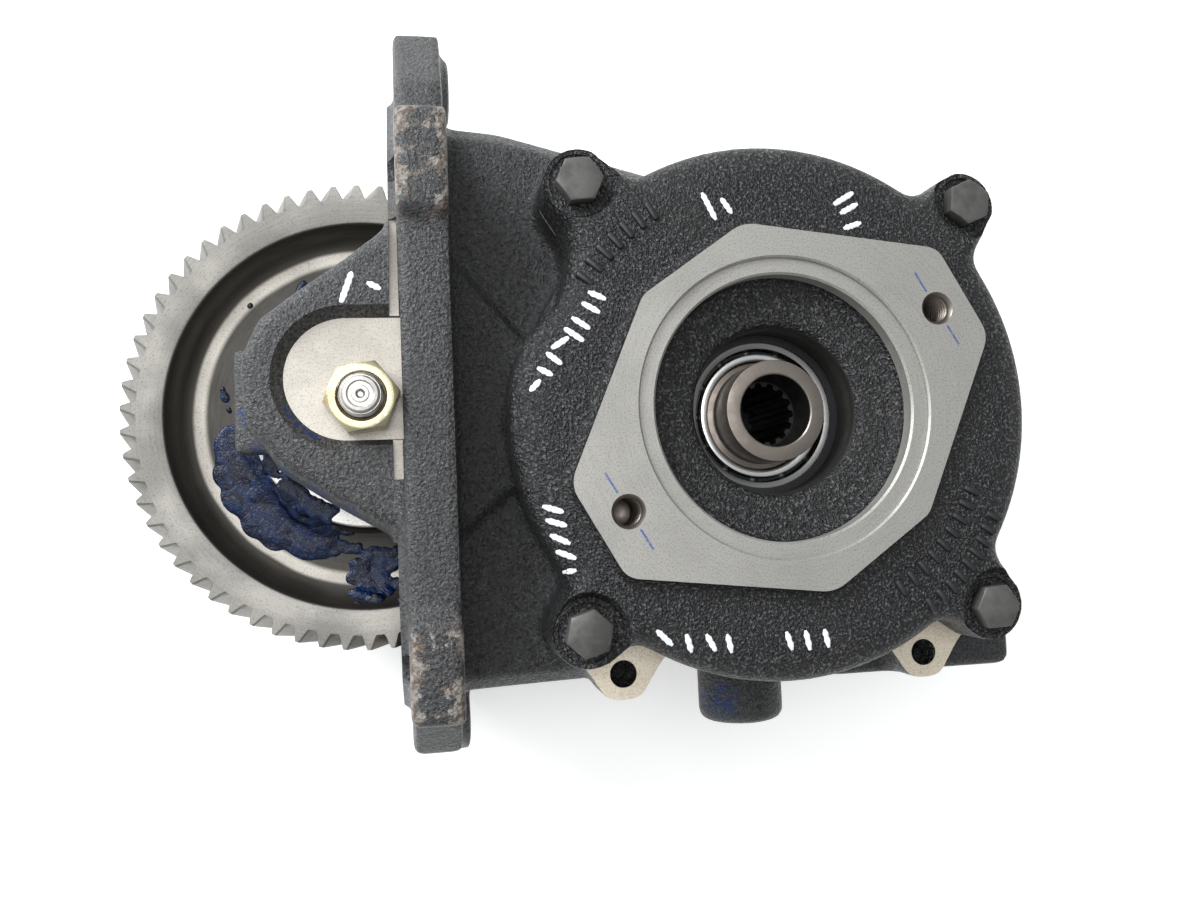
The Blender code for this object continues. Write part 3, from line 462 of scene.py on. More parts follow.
def gear_steel():
    n = Nodes("gear_steel")
    r, a, dx, dy = radial(n, AX, AY)
    c = n.add("ShaderNodeCombineXYZ")
    n.put(c.inputs[0], r)
    n.put(c.inputs[1], n.math("MULTIPLY", a, 0.0025))
    rings = n.noise(1900.0, 2.0, 0.5, vec=c.outputs[0])
    patch = n.noise(42.0, 4.0, 0.6)
    speck = n.noise(1300.0, 2.0, 0.6)
    tint, dark = (0.235, 0.225, 0.205), (0.185, 0.178, 0.162)
    color = n.mix(n.ramp(patch, 0.35, 0.68), tint, dark)
    wobble = n.math("MULTIPLY", n.math("SUBTRACT", n.noise(35.0, 2.0, 0.5), 0.5), 0.0016)
    rw = n.math("ADD", r, wobble)
    # dish: painted shade on the turned wall, a painted highlight on the fillet, oiled web, bright hub
    dish = n.ramp(r, 0.0805, 0.0800)
    color = n.mix(dish, color, (0.050, 0.045, 0.038))
    # bright band on the fillet: painted highlight
    color = n.mix(n.ramp(rw, 0.0716, 0.0700), color, (0.34, 0.32, 0.285))
    color = n.mix(n.ramp(rw, 0.0674, 0.0650), color, (0.040, 0.037, 0.032))
    color = n.mix(n.ramp(rw, 0.058, 0.050), color, (0.036, 0.034, 0.031))
    color = n.mix(n.ramp(r, 0.0472, 0.0468), color, (0.74, 0.73, 0.70))
    color = n.mix(n.math("MULTIPLY", n.ramp(rings, 0.42, 0.60, 0.0, 0.10), n.ramp(dish, 0.0, 0.3, 1.0, 0.2)),
                  color, (0.42, 0.415, 0.40))
    color = n.mix(n.ramp(speck, 0.54, 0.70, 0.0, 0.45), color, (0.06, 0.058, 0.054))
    n.set(color=color, rough=n.ramp(patch, 0.3, 0.7, 0.36, 0.50), metal=0.8,
          normal=n.bump(n.math("ADD", n.math("MULTIPLY", rings, n.ramp(dish, 0.0, 0.3, 1.0, 0.15)),
                               n.math("MULTIPLY", speck, 0.4)), 0.10, 0.00010))
    return n.mat


def yellow_zinc():
    n = Nodes("yellow_zinc")
    patch = n.noise(130.0, 3.0, 0.6, 0.6)
    speck = n.noise(1400.0, 2.0, 0.6)
    color = n.mix(n.ramp(patch, 0.40, 0.62), (0.50, 0.455, 0.30), (0.57, 0.52, 0.35))
    color = n.mix(n.ramp(n.noise(60.0, 2.0, 0.5), 0.50, 0.70, 0.0, 0.6), color, (0.46, 0.34, 0.17))
    n.set(color=color, rough=n.ramp(speck, 0.3, 0.7, 0.24, 0.36), metal=0.92,
          normal=n.bump(speck, 0.07, 0.00015))
    return n.mat


def grease():
    n = Nodes("blue_grease")
    thick = n.noise(140.0, 3.0, 0.6, 0.8)
    fine = n.noise(520.0, 3.0, 0.6, 1.2)
    color = n.mix(n.ramp(thick, 0.40, 0.66), (0.0003, 0.0022, 0.013), (0.0010, 0.010, 0.046))
    color = n.mix(n.ramp(fine, 0.58, 0.76, 0.0, 0.7), color, (0.004, 0.050, 0.17))
    n.set(color=color, rough=n.ramp(fine, 0.3, 0.7, 0.10, 0.24), metal=0.0,
          normal=n.bump(n.math("ADD", fine, n.math("MULTIPLY", thick, 1.4)), 0.6, 0.0010), spec=0.22, coat=0.12)
    n.bsdf.inputs["Coat Roughness"].default_value = 0.08
    return n.mat


def paper():
    n = Nodes("gasket_paper")
    f = n.noise(800.0, 4.0, 0.7)
    n.set(color=n.mix(f, (0.30, 0.27, 0.22), (0.48, 0.44, 0.36)), rough=0.85,
          normal=n.bump(f, 0.3, 0.0002))
    return n.mat


def marker(name, rgb):
    n = Nodes(name)
    f = n.noise(900.0, 3.0, 0.7)
    n.set(color=n.mix(n.ramp(f, 0.35, 0.75), rgb, tuple(c * 0.75 for c in rgb)), rough=0.6,
          normal=n.bump(f, 0.25, 0.0003))
    return n.mat


def floor_mat():
    n = Nodes("floor_cloth")
    f = n.noise(5.0, 3.0, 0.5)
    w = n.noise(700.0, 2.0, 0.6)
    n.set(color=n.mix(n.ramp(f, 0.3, 0.7), (0.92, 0.92, 0.91), (0.88, 0.88, 0.865)), rough=0.85,
          normal=n.bump(w, 0.06, 0.0002))
    n.bsdf.inputs["Emission Color"].default_value = (1.0, 1.0, 0.985, 1.0)
    n.bsdf.inputs["Emission Strength"].default_value = 0.34
    return n.mat


M = {
    "cast": black_casting(),
    "pad": machined("machined_pad", axis=(0, 0), metal=0.55, rough=(0.42, 0.58), ink=True),
    "milled": machined("milled_iron", tint=(0.43, 0.40, 0.355), metal=0.45, rough=(0.36, 0.5)),
    "tan": machined("milled_lug", tint=(0.78, 0.69, 0.55), metal=0.4, rough=(0.4, 0.55)),
    "bore": plain_metal("oiled_bore", (0.018, 0.017, 0.016), 0.34, 0.6, vary=0.2),
    # bored_wall is a dark grey that paints shade: it goes down the bearing seat bore and on the balls
    "wall": plain_metal("bored_wall", (0.085, 0.083, 0.078), 0.38, 0.85, vary=0.25),
    "race": plain_metal("bearing_race", (0.22, 0.22, 0.215), 0.26, 1.0, strength=0.03, vary=0.15),
    # ball_cage is near black: painted shade in the gap between the bearing rings
    "cage": plain_metal("ball_cage", (0.022, 0.022, 0.022), 0.35, 0.8, vary=0.2),
    "gear": gear_steel(),
    "shaft": plain_metal("ground_steel", (0.235, 0.205, 0.180), 0.36, 0.9),
    "bearing": plain_metal("bearing_steel", (0.66, 0.66, 0.655), 0.22, 1.0, strength=0.03, vary=0.08),
    "bolt": plain_metal("bolt_phosphate", (0.105, 0.101, 0.096), 0.52, 0.35, grain=520.0, strength=0.5, vary=0.45),
    "mark": plain_metal("raised_marks", (0.016, 0.016, 0.017), 0.34, 0.0, grain=700.0, strength=0.6, vary=0.3),
    "zinc": yellow_zinc(),
    "steel": plain_metal("stud_steel", (0.50, 0.48, 0.45), 0.3, 0.95),
    "black_oxide": plain_metal("black_oxide", (0.020, 0.020, 0.022), 0.45, 0.5, vary=0.1),
    "bronze": plain_metal("bronze", (0.46, 0.29, 0.13), 0.35, 0.95),
    "paper": paper(),
    "grease": grease(),
    "white_ink": marker("paint_marker", (0.80, 0.81, 0.82)),
    "blue_ink": marker("layout_ink", (0.05, 0.10, 0.38)),
}

PIECES = []


def piece(ob, body, slot, *nodes):
    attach(ob, body)
    if nodes:
        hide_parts(*nodes)
    PIECES.append(ob)
    return ob


def sharpen(ob, angle=32.0):
    ob.data.shade_smooth()
    ob.data.set_sharp_from_angle(angle=math.radians(angle))


def paint_faces(ob, tests):
    """Gives each face the slot of the first test it meets, test(centre mm, normal)."""
    me = ob.data
    for poly in me.polygons:
        c = poly.center
        p = ((c.x - SHIFT.x) / MM, (c.y - SHIFT.y) / MM, (c.z - SHIFT.z) / MM)
        for index, test in tests:
            if test(p, poly.normal):
                poly.material_index = index
                break


# --------------------------------------------------------------- cover shape
def cover_radius(theta):
    base = COVER_R
    notch = (theta - math.radians(152) + math.pi) % (2 * math.pi) - math.pi
    base -= 9.5 * math.exp(-(notch / math.radians(11)) ** 2)
    best = base
    for bx, by in COVER_BOLTS:
        d = math.hypot(bx, by)
        delta = (theta - math.atan2(by, bx) + math.pi) % (2 * math.pi) - math.pi
        limit = LOBE_R / d
        if abs(delta) < 3.2 * limit:
            u = abs(math.sin(delta)) * d / LOBE_R
            s = min(1.0, u)
            lobe = d * math.cos(delta) + LOBE_R * math.sqrt(1.0 - s * s) - 1.0
            lobe -= 30.0 * max(0.0, u - 0.93)
            k = 4.5
            m = max(lobe, best)
            best = m + k * math.log(math.exp((lobe - m) / k) + math.exp((best - m) / k))
    return best


def cover_outline(offset=0.0, seg=240):
    return [((cover_radius(t) + offset) * math.cos(t), (cover_radius(t) + offset) * math.sin(t))
            for t in (2 * math.pi * i / seg for i in range(seg))]


def pad_outline(seg=8):
    half = [(-14.0, 69.3), (64.0, 60.0), (83.0, 26.0), (53.5, -42.0)]
    radii = [13.0, 8.0, 10.0, 8.0]
    pts = half + [(-x, -y) for x, y in half]
    return rounded(pts, radii + radii, seg)


# -------------------------------------------------------------------- casing
def flange_outline():
    top = [(116.0, -8.0), (119.0, -38.0), (139.5, -42.0), (168.0, -61.0)]
    bottom = [(-130.5, -61.0), (-113.5, -40.0), (-109.5, -8.0)]
    recess = [(-74.0, -8.0), (-70.0, -13.0), (74.0, -13.0), (78.0, -8.0)]
    near = bottom[1:] + recess + top
    far = [(y, 2 * ZM - z) for y, z in reversed(near)]
    return [bottom[0]] + near + far + [(bottom[0][0], 2 * ZM - bottom[0][1])]


def ear_outline():
    pts = [(-130.0, 79.0), (-145.5, 73.8), (-162.4, 60.5), (-178.6, 49.2), (-192.6, 38.6),
           (-199.4, 24.0), (-198.4, 1.4), (-187.0, -17.0), (-166.8, -30.7), (-147.0, -42.6),
           (-130.0, -46.6)]
    return rounded(pts, [0, 0, 30, 30, 10, 12, 14, 16, 30, 6, 0], 6)


FLANGE_BOLTS = [(98.0, -24.0), (-92.0, -24.0), (98.0, -138.0), (-92.0, -138.0),
                (151.0, -81.0), (-119.0, -81.0)]


def dpad_ring(off, z):
    """Milled pad round the nut: a D open to the flange, off mm wider."""
    right = X_PLATE + 0.4
    pts = [(right, 39.1 + off), (-162.0, 39.1 + off)]
    pts += [(-162.0 + (22.7 + off) * math.cos(a), 16.4 + (22.7 + off) * math.sin(a))
            for a in (math.pi / 2 + math.pi * k / 40 for k in range(1, 40))]
    pts += [(-162.0, -6.3 - 0.55 * off), (right, -6.3 - 0.55 * off)]
    return [(x, y, z) for x, y in pts]


def build_housing():
    parts = [prism("a", cover_outline(-1.6), -50.0, Z_JOINT + 3.0)]
    parts.append(lathe("c", [(0, -122.0), (60.0, -122.0), (88.0, -117.0), (95.5, -108.0),
                             (97.0, -40.0), (0, -40.0)], 120))
    parts.append(lathe("r", [(0, Z_REAR - 2), (47.0, Z_REAR - 2), (48.5, -138.0), (52.0, -120.0),
                             (0, -115.0)], 96))
    neck = [(-130.0, 127.0), (-100.0, 124.0), (-24.0, 104.0), (-10.0, -80.0), (-70.0, -104.0),
            (-130.0, -106.0)]
    shrink = [(x, y * 0.94) for x, y in neck]
    parts.append(loft("n", [[(x, y, -118.0) for x, y in shrink], [(x, y, -108.0) for x, y in neck],
                            [(x, y, -56.0) for x, y in neck], [(x, y, -48.0) for x, y in shrink]]))
    parts.append(loft("v", [[(-130, 82, -60), (-130, -56, -60), (-84, -14, -60), (-84, 26, -60)],
                            [(-130, 76, -43), (-130, -50, -43), (-86, -12, -43), (-86, 24, -43)]]))
    parts.append(prism_x("f", flange_outline(), X_PLATE, X_BACK))
    land = rounded([(78, -20.7), (104, -30.5), (136, -58), (136, -104), (104, -131.5),
                    (78, -141.3), (-72, -141.3), (-96, -131.5), (-110, -104), (-110, -58),
                    (-96, -30.5), (-72, -20.7)], 6, 4)
    parts.append(prism_x("l", land, X_FACE - 1.5, X_PLATE + 3.0))
    for y in (151.0, -119.0):
        parts.append(prism_x("s", circle(y, -81.0, 14.0, 48), X_PLATE + 8.0, X_BACK + 4.0))
    ear = ear_outline()
    parts.append(loft("e", [[(x, y, -64.0) for x, y in ear],
                            [(x, y, -30.0) for x, y in ear],
                            [(x, y + (1.6 if y < -4 else 0.0), -24.0) for x, y in ear],
                            [(x, y + (3.6 if y < -4 else 0.0), -17.6) for x, y in ear]]))
    parts.append(prism("e", ear, -142.0, -98.0))
    parts.append(box("g", -206.2, -188.0, -8.2, 32.4, -60.0, -45.0))
    parts.append(box("g", -206.2, -188.0, -8.2, 32.4, -117.0, -102.0))
    rail = rounded([(30.0, -109.0), (112.4, -109.4), (112.4, -84.0), (78.0, -60.0), (30.0, -70.0)],
                   [2, 4, 10, 10, 0], 5)
    parts.append(prism("q", rail, -112.0, -46.0))
    for x, y in ((-61.6, -99.3), (64.1, -99.3)):
        lug = rounded([(x - 6.5, y - 10.2), (x + 6.5, y - 10.2), (x + 11.5, y - 2.0), (x + 28, y + 22),
                       (x - 28, y + 22), (x - 11.5, y - 2.0)], [9, 9, 9, 0, 0, 9], 6)
        parts.append(prism("u", lug, -54.0, Z_JOINT + 3.0))
    parts.append(loft("y", [[(x, -60.0, z) for x, z in circle(-4.6, -64.0, 17.8, 64)],
                            [(x, -124.0, z) for x, z in circle(-4.6, -64.0, 17.8, 64)],
                            [(x, -126.6, z) for x, z in circle(-4.6, -64.0, 14.8, 64)]]))
    for x, y in COVER_BOLTS:
        parts.append(cyl("o", x, y, 12.9, -62.0, Z_JOINT - 3.0, 48))
    ob = cast(merge("casting", parts), 1.9, 7, 0.5)
    cut(ob, box("j", -116.0, 150.0, -150.0, 150.0, Z_JOINT, 10.0))
    cut(ob, box("j", -160.0, X_FACE, -150.0, -44.5, -150.0, -10.0))
    cut(ob, box("j", -160.0, X_FACE, 75.0, 175.0, -150.0, -10.0))
    cut(ob, lathe("k", [(0, -20.0), (74.0, -20.0), (74.0, -104.0), (70.0, -107.0),
                        (36.1, -107.0), (36.1, -150.0), (0, -150.0)], 128))
    cut(ob, box("j", -60.0, 60.0, -60.0, 60.0, -150.0, Z_REAR))
    cut(ob, cyl("w", AX, AY, 99.8, -97.6, -64.4, 160))
    cut(ob, cyl("i", AX, AY, 17.4, -150.0, -31.4, 80))
    cut(ob, cyl("i", AX, AY, 8.4, -60.0, 10.0, 64))
    cut(ob, loft("p", [dpad_ring(0.0, -21.9), dpad_ring(0.5, -21.3), dpad_ring(2.6, -19.4),
                       dpad_ring(4.0, -17.9), dpad_ring(4.6, -17.0), dpad_ring(4.6, -5.0)]))
    cut(ob, prism("q", [(-150.0, -21.5), (X_PLATE - 0.02, -21.5), (X_PLATE - 0.02, 76.0),
                        (-145.4, 76.0), (-146.1, 39.0), (-146.1, -21.5), (-150.0, -21.5)][1:-1],
                  -21.2, -9.0))
    for x, y in COVER_BOLTS:
        cut(ob, lathe("m", [(0, -60.0), (5.25, -58.0), (5.25, 0), (0, 0)], 32, x, y))
    for x, y in ((-61.6, -99.3), (64.1, -99.3)):
        prof = [(0, -50.0), (4.3, -48.0)]
        z = -46.0
        while z < -34.2:
            prof += [(4.3, z), (4.9, z + 0.55), (4.9, z + 0.7), (4.3, z + 1.25)]
            z += 1.5
        prof += [(4.3, -32.3), (5.3, -31.0), (5.3, -20.0), (0, -20.0)]
        cut(ob, lathe("m", prof, 48, x, y))
    for y, z in FLANGE_BOLTS:
        cut(ob, prism_x("m", circle(y, z, 6.3, 40), -160.0, -100.0))
    cut(ob, loft("y", [[(x, -150.0, z) for x, z in circle(-4.6, -64.0, 9.4, 48)],
                       [(x, -110.0, z) for x, z in circle(-4.6, -64.0, 9.4, 48)],
                       [(x, -109.9, z) for x, z in circle(-4.6, -64.0, 6.0, 48)],
                       [(x, -65.0, z) for x, z in circle(-4.6, -64.0, 6.0, 48)]]))
    own(ob, [M["cast"], M["milled"], M["tan"]])

    def on_pad(p, nn):
        return nn.z > 0.95 and -22.2 < p[2] < -21.6 and p[0] < -142.0

    def on_land(p, nn):
        return (nn.x < -0.95 and X_FACE - 0.6 < p[0] < X_FACE + 0.3)

    def ledge(p, nn):
        return nn.z > 0.9 and -146.2 < p[0] < -142.0 and abs(p[2] + 21.2) < 0.05

    def joint(p, nn):
        return nn.z > 0.95 and (abs(p[2] - Z_JOINT) < 0.2 or abs(p[2] + 31.4) < 0.05)

    def inner(p, nn):
        g = math.hypot(p[0] - AX, p[1] - AY)
        if g < 100.2 and -97.8 < p[2] < -64.2 and p[0] > -142:
            return True
        return math.hypot(p[0], p[1]) < 74.3 and p[2] < Z_JOINT

    def bore(p, nn):
        return math.hypot(p[0] - AX, p[1] - AY) < 17.6 and abs(nn.z) < 0.5 and p[2] < -21.9
    paint_faces(ob, [(1, on_pad), (1, on_land), (1, ledge), (2, joint), (1, inner), (1, bore)])
    ob.name = "housing_casting"
    sharpen(ob, 38)
    return piece(ob, "casing", "black_casting", "housing")


def build_cover():
    rings = [[(x, y, Z_COVER - 3) for x, y in cover_outline(0.3)],
             [(x, y, -11.5) for x, y in cover_outline(0.3)]]
    for off, z in ((-1.4, -8.6), (-4.0, -6.9), (-8.5, -5.6), (-13.0, -5.0)):
        rings.append([(x, y, z) for x, y in cover_outline(off)])
    slab = loft("s", rings)
    pad = pad_outline()
    parts = [slab, loft("p", [[(x * 1.035, y * 1.035, -20.0) for x, y in pad],
                              [(x * 1.035, y * 1.035, -4.8) for x, y in pad],
                              [(x * 1.012, y * 1.012, -2.4) for x, y in pad],
                              [(x * 1.012, y * 1.012, 2.0) for x, y in pad]])]
    solid = merge("cover", parts)
    ob = cast(solid, 1.15, 1, 0.5)
    for x, y in COVER_BOLTS:
        d = math.hypot(x, y)
        cut(ob, loft("l", [[(px, py, -11.3) for px, py in circle(x, y, 12.6, 48)],
                           [(px, py, -9.4) for px, py in circle(x, y, 14.2, 48)],
                           [(px, py, 4.0) for px, py in circle(x + 5 * x / d, y + 5 * y / d, 21.0, 48)]]))
    sm = ob.modifiers.new("s", "SMOOTH")
    sm.factor = 0.5
    sm.iterations = 4
    bake_modifiers(ob)
    cut(ob, box("j", -150, 150, -150, 150, 0.0, 10.0))
    cut(ob, box("j", -150, 150, -150, 150, -60.0, Z_COVER))
    return ob


def finish_cover(ob):
    cut(ob, lathe("b", [(0, 5.0), (57.7, 5.0), (57.7, 0.0), (57.0, -0.7), (57.0, -2.0),
                        (51.6, -2.0), (50.8, -2.8), (50.8, -8.6), (50.4, -9.8), (49.4, -11.0),
                        (47.9, -11.8), (46.0, -12.2), (36.6, -12.6), (35.2, -12.9), (34.0, -13.5),
                        (33.1, -14.5), (32.5, -16.0), (32.3, -17.6), (32.3, -29.55), (34.1, -29.55),
                        (34.1, -40.0), (0, -40.0)], 200))
    for s in (1, -1):
        x, y = s * 73.0 * math.cos(PUMP_A), s * 73.0 * math.sin(PUMP_A)
        prof = [(0, -24.5), (5.1, -22.0)]
        z = -21.0
        while z < -1.9:
            prof += [(5.1, z), (5.75, z + 0.6), (5.75, z + 0.75), (5.1, z + 1.35)]
            z += 1.75
        prof += [(5.3, -1.2), (6.5, 0.05), (6.5, 3.0), (0, 3.0)]
        cut(ob, lathe("m", prof, 48, x, y))
    for x, y in COVER_BOLTS:
        cut(ob, lathe("m", [(0, -40.0), (5.5, -40.0), (5.5, -12.0), (10.8, -12.0), (11.2, -11.6),
                            (11.2, 3.0), (0, 3.0)], 64, x, y))
    own(ob, [M["cast"], M["pad"], M["shaft"], M["wall"]])

    def face(p, nn):
        return nn.z > 0.9 and p[2] > -0.3

    def bore(p, nn):
        r = math.hypot(p[0], p[1])
        return 50.0 < r < 58.2 and p[2] > -8.7 and p[2] < -0.0

    # the bearing seat bore gets the dark bored_wall colour: painted shade down the bore wall
    def seat(p, nn):
        r = math.hypot(p[0], p[1])
        return r < 33.3 and p[2] < -14.4

    def thread(p, nn):
        return any(math.hypot(p[0] - s * 73.0 * math.cos(PUMP_A), p[1] - s * 73.0 * math.sin(PUMP_A)) < 6.9
                   and p[2] < -0.02 for s in (1, -1))
    paint_faces(ob, [(2, thread), (1, face), (1, bore), (3, seat)])
    ob.name = "cover_casting"
    sharpen(ob, 38)
    return piece(ob, "casing", "black_casting", "front_cover")


def build_gasket():
    out = cover_outline(-0.3)
    n = len(out)
    verts, faces = [], []
    for z in (-29.8, -30.6):
        verts += [(x, y, z) for x, y in out]
        verts += [(74.4 * math.cos(2 * math.pi * i / n), 74.4 * math.sin(2 * math.pi * i / n), z)
                  for i in range(n)]
    for i in range(n):
        j = (i + 1) % n
        faces += [(i, j, n + j, n + i), (2 * n + i, 2 * n + j, 3 * n + j, 3 * n + i),
                  (i, j, 2 * n + j, 2 * n + i), (n + i, n + j, 3 * n + j, 3 * n + i)]
    ob = own(obj_from("gasket_sheet", verts, faces), M["paper"])
    return piece(ob, "casing", "gasket_paper", "cover_gasket")


def hex_bolt(tag, x, y, turn):
    head = prism("h", circle(x, y, 8.0 / math.cos(math.pi / 6), 6, turn), -11.7, -5.3)
    cut(head, lathe("c", [(0, -20.0), (12.0, -20.0), (12.0, -7.2), (9.3, -6.1), (7.7, -5.3),
                          (0, -5.3)], 72, x, y),
        solver="EXACT", operation="INTERSECT")
    bev = head.modifiers.new("b", "BEVEL")
    bev.width = 0.25 * MM
    bev.segments = 2
    bev.limit_method = "ANGLE"
    bev.angle_limit = math.radians(40)
    bake_modifiers(head)
    shank = lathe("s", [(0, -56.0), (4.0, -56.0), (4.9, -55.0), (4.9, -11.75), (0, -11.75)], 32, x, y)
    ob = merge("bolt_" + tag, [head, shank])
    sharpen(ob, 30)
    own(ob, M["bolt"])
    return piece(ob, "casing", "bolt_steel", "cover_bolt_" + tag)


# --------------------------------------------------------------------- gears
def involute(a):
    return math.tan(a) - a


def tooth_profile(teeth, shrink=0.0):
    """Outline of one tooth about angle 0: list of (radius, angle) from gap to gap."""
    pitch_r = M_T * teeth / 2
    base_r = pitch_r * math.cos(ALPHA_T)
    tip_r = pitch_r + M_N - shrink * 0.9
    root_r = pitch_r - 1.18 * M_N
    half_p = math.pi / (2 * teeth) - (FLANK_RELIEF + shrink) / pitch_r

    def half(r):
        if r <= base_r:
            return half_p + involute(ALPHA_T)
        return half_p + involute(ALPHA_T) - involute(math.acos(base_r / r))
    side = []
    gap = math.pi / teeth
    h0 = half(max(root_r, base_r))
    side.append((root_r, gap * 0.985))
    side.append((root_r, min(h0 + 0.55 / root_r, gap * 0.96)))
    side.append((root_r + 0.22, min(h0 + 0.20 / root_r, gap * 0.93)))
    for k in range(1, 6):
        r = root_r + (tip_r - root_r) * (0.12 + 0.84 * k / 5)
        r = min(r, tip_r - 0.18)
        side.append((r, half(r)))
    side.append((tip_r, half(tip_r) - 0.16 / tip_r))
    left = [(r, -h) for r, h in side]
    right = [(r, h) for r, h in reversed(side)]
    return left + right


def fine_gear(name, teeth, x, y, face, first, hand, inner, end=0.9, levels=5):
    """Helical gear with chamfered tooth ends. inner runs from the front root
    circle through the bore to the rear one as (radius, z)."""
    pitch_r = M_T * teeth / 2
    rate = hand * math.tan(HELIX) / pitch_r
    zt, zb = ZM + face / 2, ZM - face / 2
    outer = [(zt, 0.62), (zt - end, 0.0)]
    outer += [(zt - end - (face - 2 * end) * k / levels, 0.0) for k in range(1, levels)]
    outer += [(zb + end, 0.0), (zb, 0.62)]
    verts, faces = [], []
    full = tooth_profile(teeth, 0.0)
    small = tooth_profile(teeth, 0.62)
    per = len(full)
    n = per * teeth
    rings = []

    def ring(kind, z):
        base = len(verts)
        tw = rate * (ZM - z)
        for i in range(teeth):
            c = first + 2 * math.pi * i / teeth + tw
            for k in range(per):
                if kind == "full":
                    r, a = full[k]
                elif kind == "small":
                    r, a = small[k]
                else:
                    r, a = kind, small[k][1]
                verts.append((x + r * math.cos(c + a), y + r * math.sin(c + a), z))
        rings.append(base)
    for z, s in outer:
        ring("small" if s else "full", z)
    for r, z in reversed(inner):
        ring(r, z)
    rings_closed = rings + [rings[0]]
    for a, b in zip(rings_closed, rings_closed[1:]):
        for i in range(n):
            j = (i + 1) % n
            faces.append((a + i, a + j, b + j, b + i))
    return obj_from(name, verts, faces, 26)


def arc(cx, cy, r, a0, a1, n):
    return [(cx + r * math.cos(math.radians(a0 + (a1 - a0) * k / n)),
             cy + r * math.sin(math.radians(a0 + (a1 - a0) * k / n))) for k in range(n + 1)]


def build_input_gear():
    face = 26.0
    zt, zb = ZM + 13.0, ZM - 13.0
    hub = 46.5
    front = [(90.2, zt), (81.2, zt), (80.6, zt - 0.25), (80.3, zt - 0.8), (79.7, zt - 2.2),
             (77.8, zt - 5.2), (75.8, zt - 7.2), (73.6, zt - 8.6), (70.5, zt - 9.5),
             (66.0, zt - 9.9), (60.0, zt - 10.0), (52.0, zt - 9.9), (49.4, zt - 9.3),
             (47.9, zt - 8.0), (47.1, zt - 6.0), (46.8, zt - 1.0), (46.6, ZM + 13.7),
             (46.1, ZM + 14.05), (22.8, ZM + 14.05), (22.1, ZM + 13.4)]
    rear = [(r, 2 * ZM - z) for r, z in reversed(front)]
    first = math.atan2(-AY, -AX)
    ob = fine_gear("input_gear_fine", TEETH_IN, AX, AY, face, first, +1, front + rear)
    own(ob, M["gear"])
    return piece(ob, "input_gear", "gear_steel", "input_gear")


def build_output_gear():
    zt = ZM + 12.0
    front = [(57.5, zt), (53.5, zt), (52.8, zt - 0.6), (51.5, zt - 2.0), (36.0, zt - 2.8),
             (34.0, zt - 1.5), (32.2, ZM + 14.6), (31.6, ZM + 15.0), (23.8, ZM + 15.0),
             (23.35, ZM + 14.5)]
    rear = [(r, 2 * ZM - z) for r, z in reversed(front)]
    first = math.atan2(AY, AX) + math.pi / TEETH_OUT
    ob = fine_gear("output_gear_fine", TEETH_OUT, 0, 0, 24.0, first, -1, front + rear, 0.8, 4)
    cut(ob, box("k", 18, 27.6, -5.0, 5.0, ZM - 30, ZM + 30))
    sharpen(ob, 26)
    own(ob, M["gear"])
    return piece(ob, "output_assembly", "gear_steel", "output_gear")


# -------------------------------------------------------------------- shafts
def build_output_shaft():
    ob = lathe("output_shaft_fine", [
        (0, -134.0), (16.8, -134.0), (17.4, -133.4), (17.4, -130.9), (16.4, -130.9), (16.4, -129.0),
        (17.4, -129.0), (17.4, -106.4), (18.0, -106.0), (27.0, -105.5), (27.0, -96.3),
        (23.0, -96.3), (23.0, -46.6), (22.1, -46.6), (22.1, -34.6), (21.6, -34.0), (18.9, -33.4), (18.9, -31.9),
        (19.9, -31.0), (19.9, -14.3), (19.75, -13.8), (19.2, -13.6), (14.7, -13.6), (14.25, -13.9), (14.1, -14.5),
        (14.1, -27.5), (13.2, -29.0), (0, -29.5)], 160)
    teeth = 15
    pts = []
    for i in range(teeth):
        a = 2 * math.pi * i / teeth
        p = math.pi / teeth
        for r, k in ((11.35, -0.66), (11.9, -0.58), (12.5, -0.48), (12.85, -0.38), (12.9, 0.0),
                     (12.85, 0.38), (12.5, 0.48), (11.9, 0.58), (11.35, 0.66)):
            pts.append((r * math.cos(a + k * p), r * math.sin(a + k * p)))
    cut(ob, prism("s", pts, -80.0, -28.0))
    cut(ob, box("k", 18.7, 30.0, -5.0, 5.0, ZM - 12.4, ZM + 12.4))
    own(ob, [M["shaft"], M["bore"]])
    paint_faces(ob, [(1, lambda p, nn: math.hypot(p[0], p[1]) < 14.2 and p[2] < -14.4)])
    sharpen(ob, 28)
    return piece(ob, "output_assembly", "ground_steel", "output_shaft")


def ring_piece(name, body, slot, mat, profile, x, y, node, seg=128):
    ob = lathe(name, profile, seg, x, y)
    own(ob, mat)
    return piece(ob, body, slot, node)


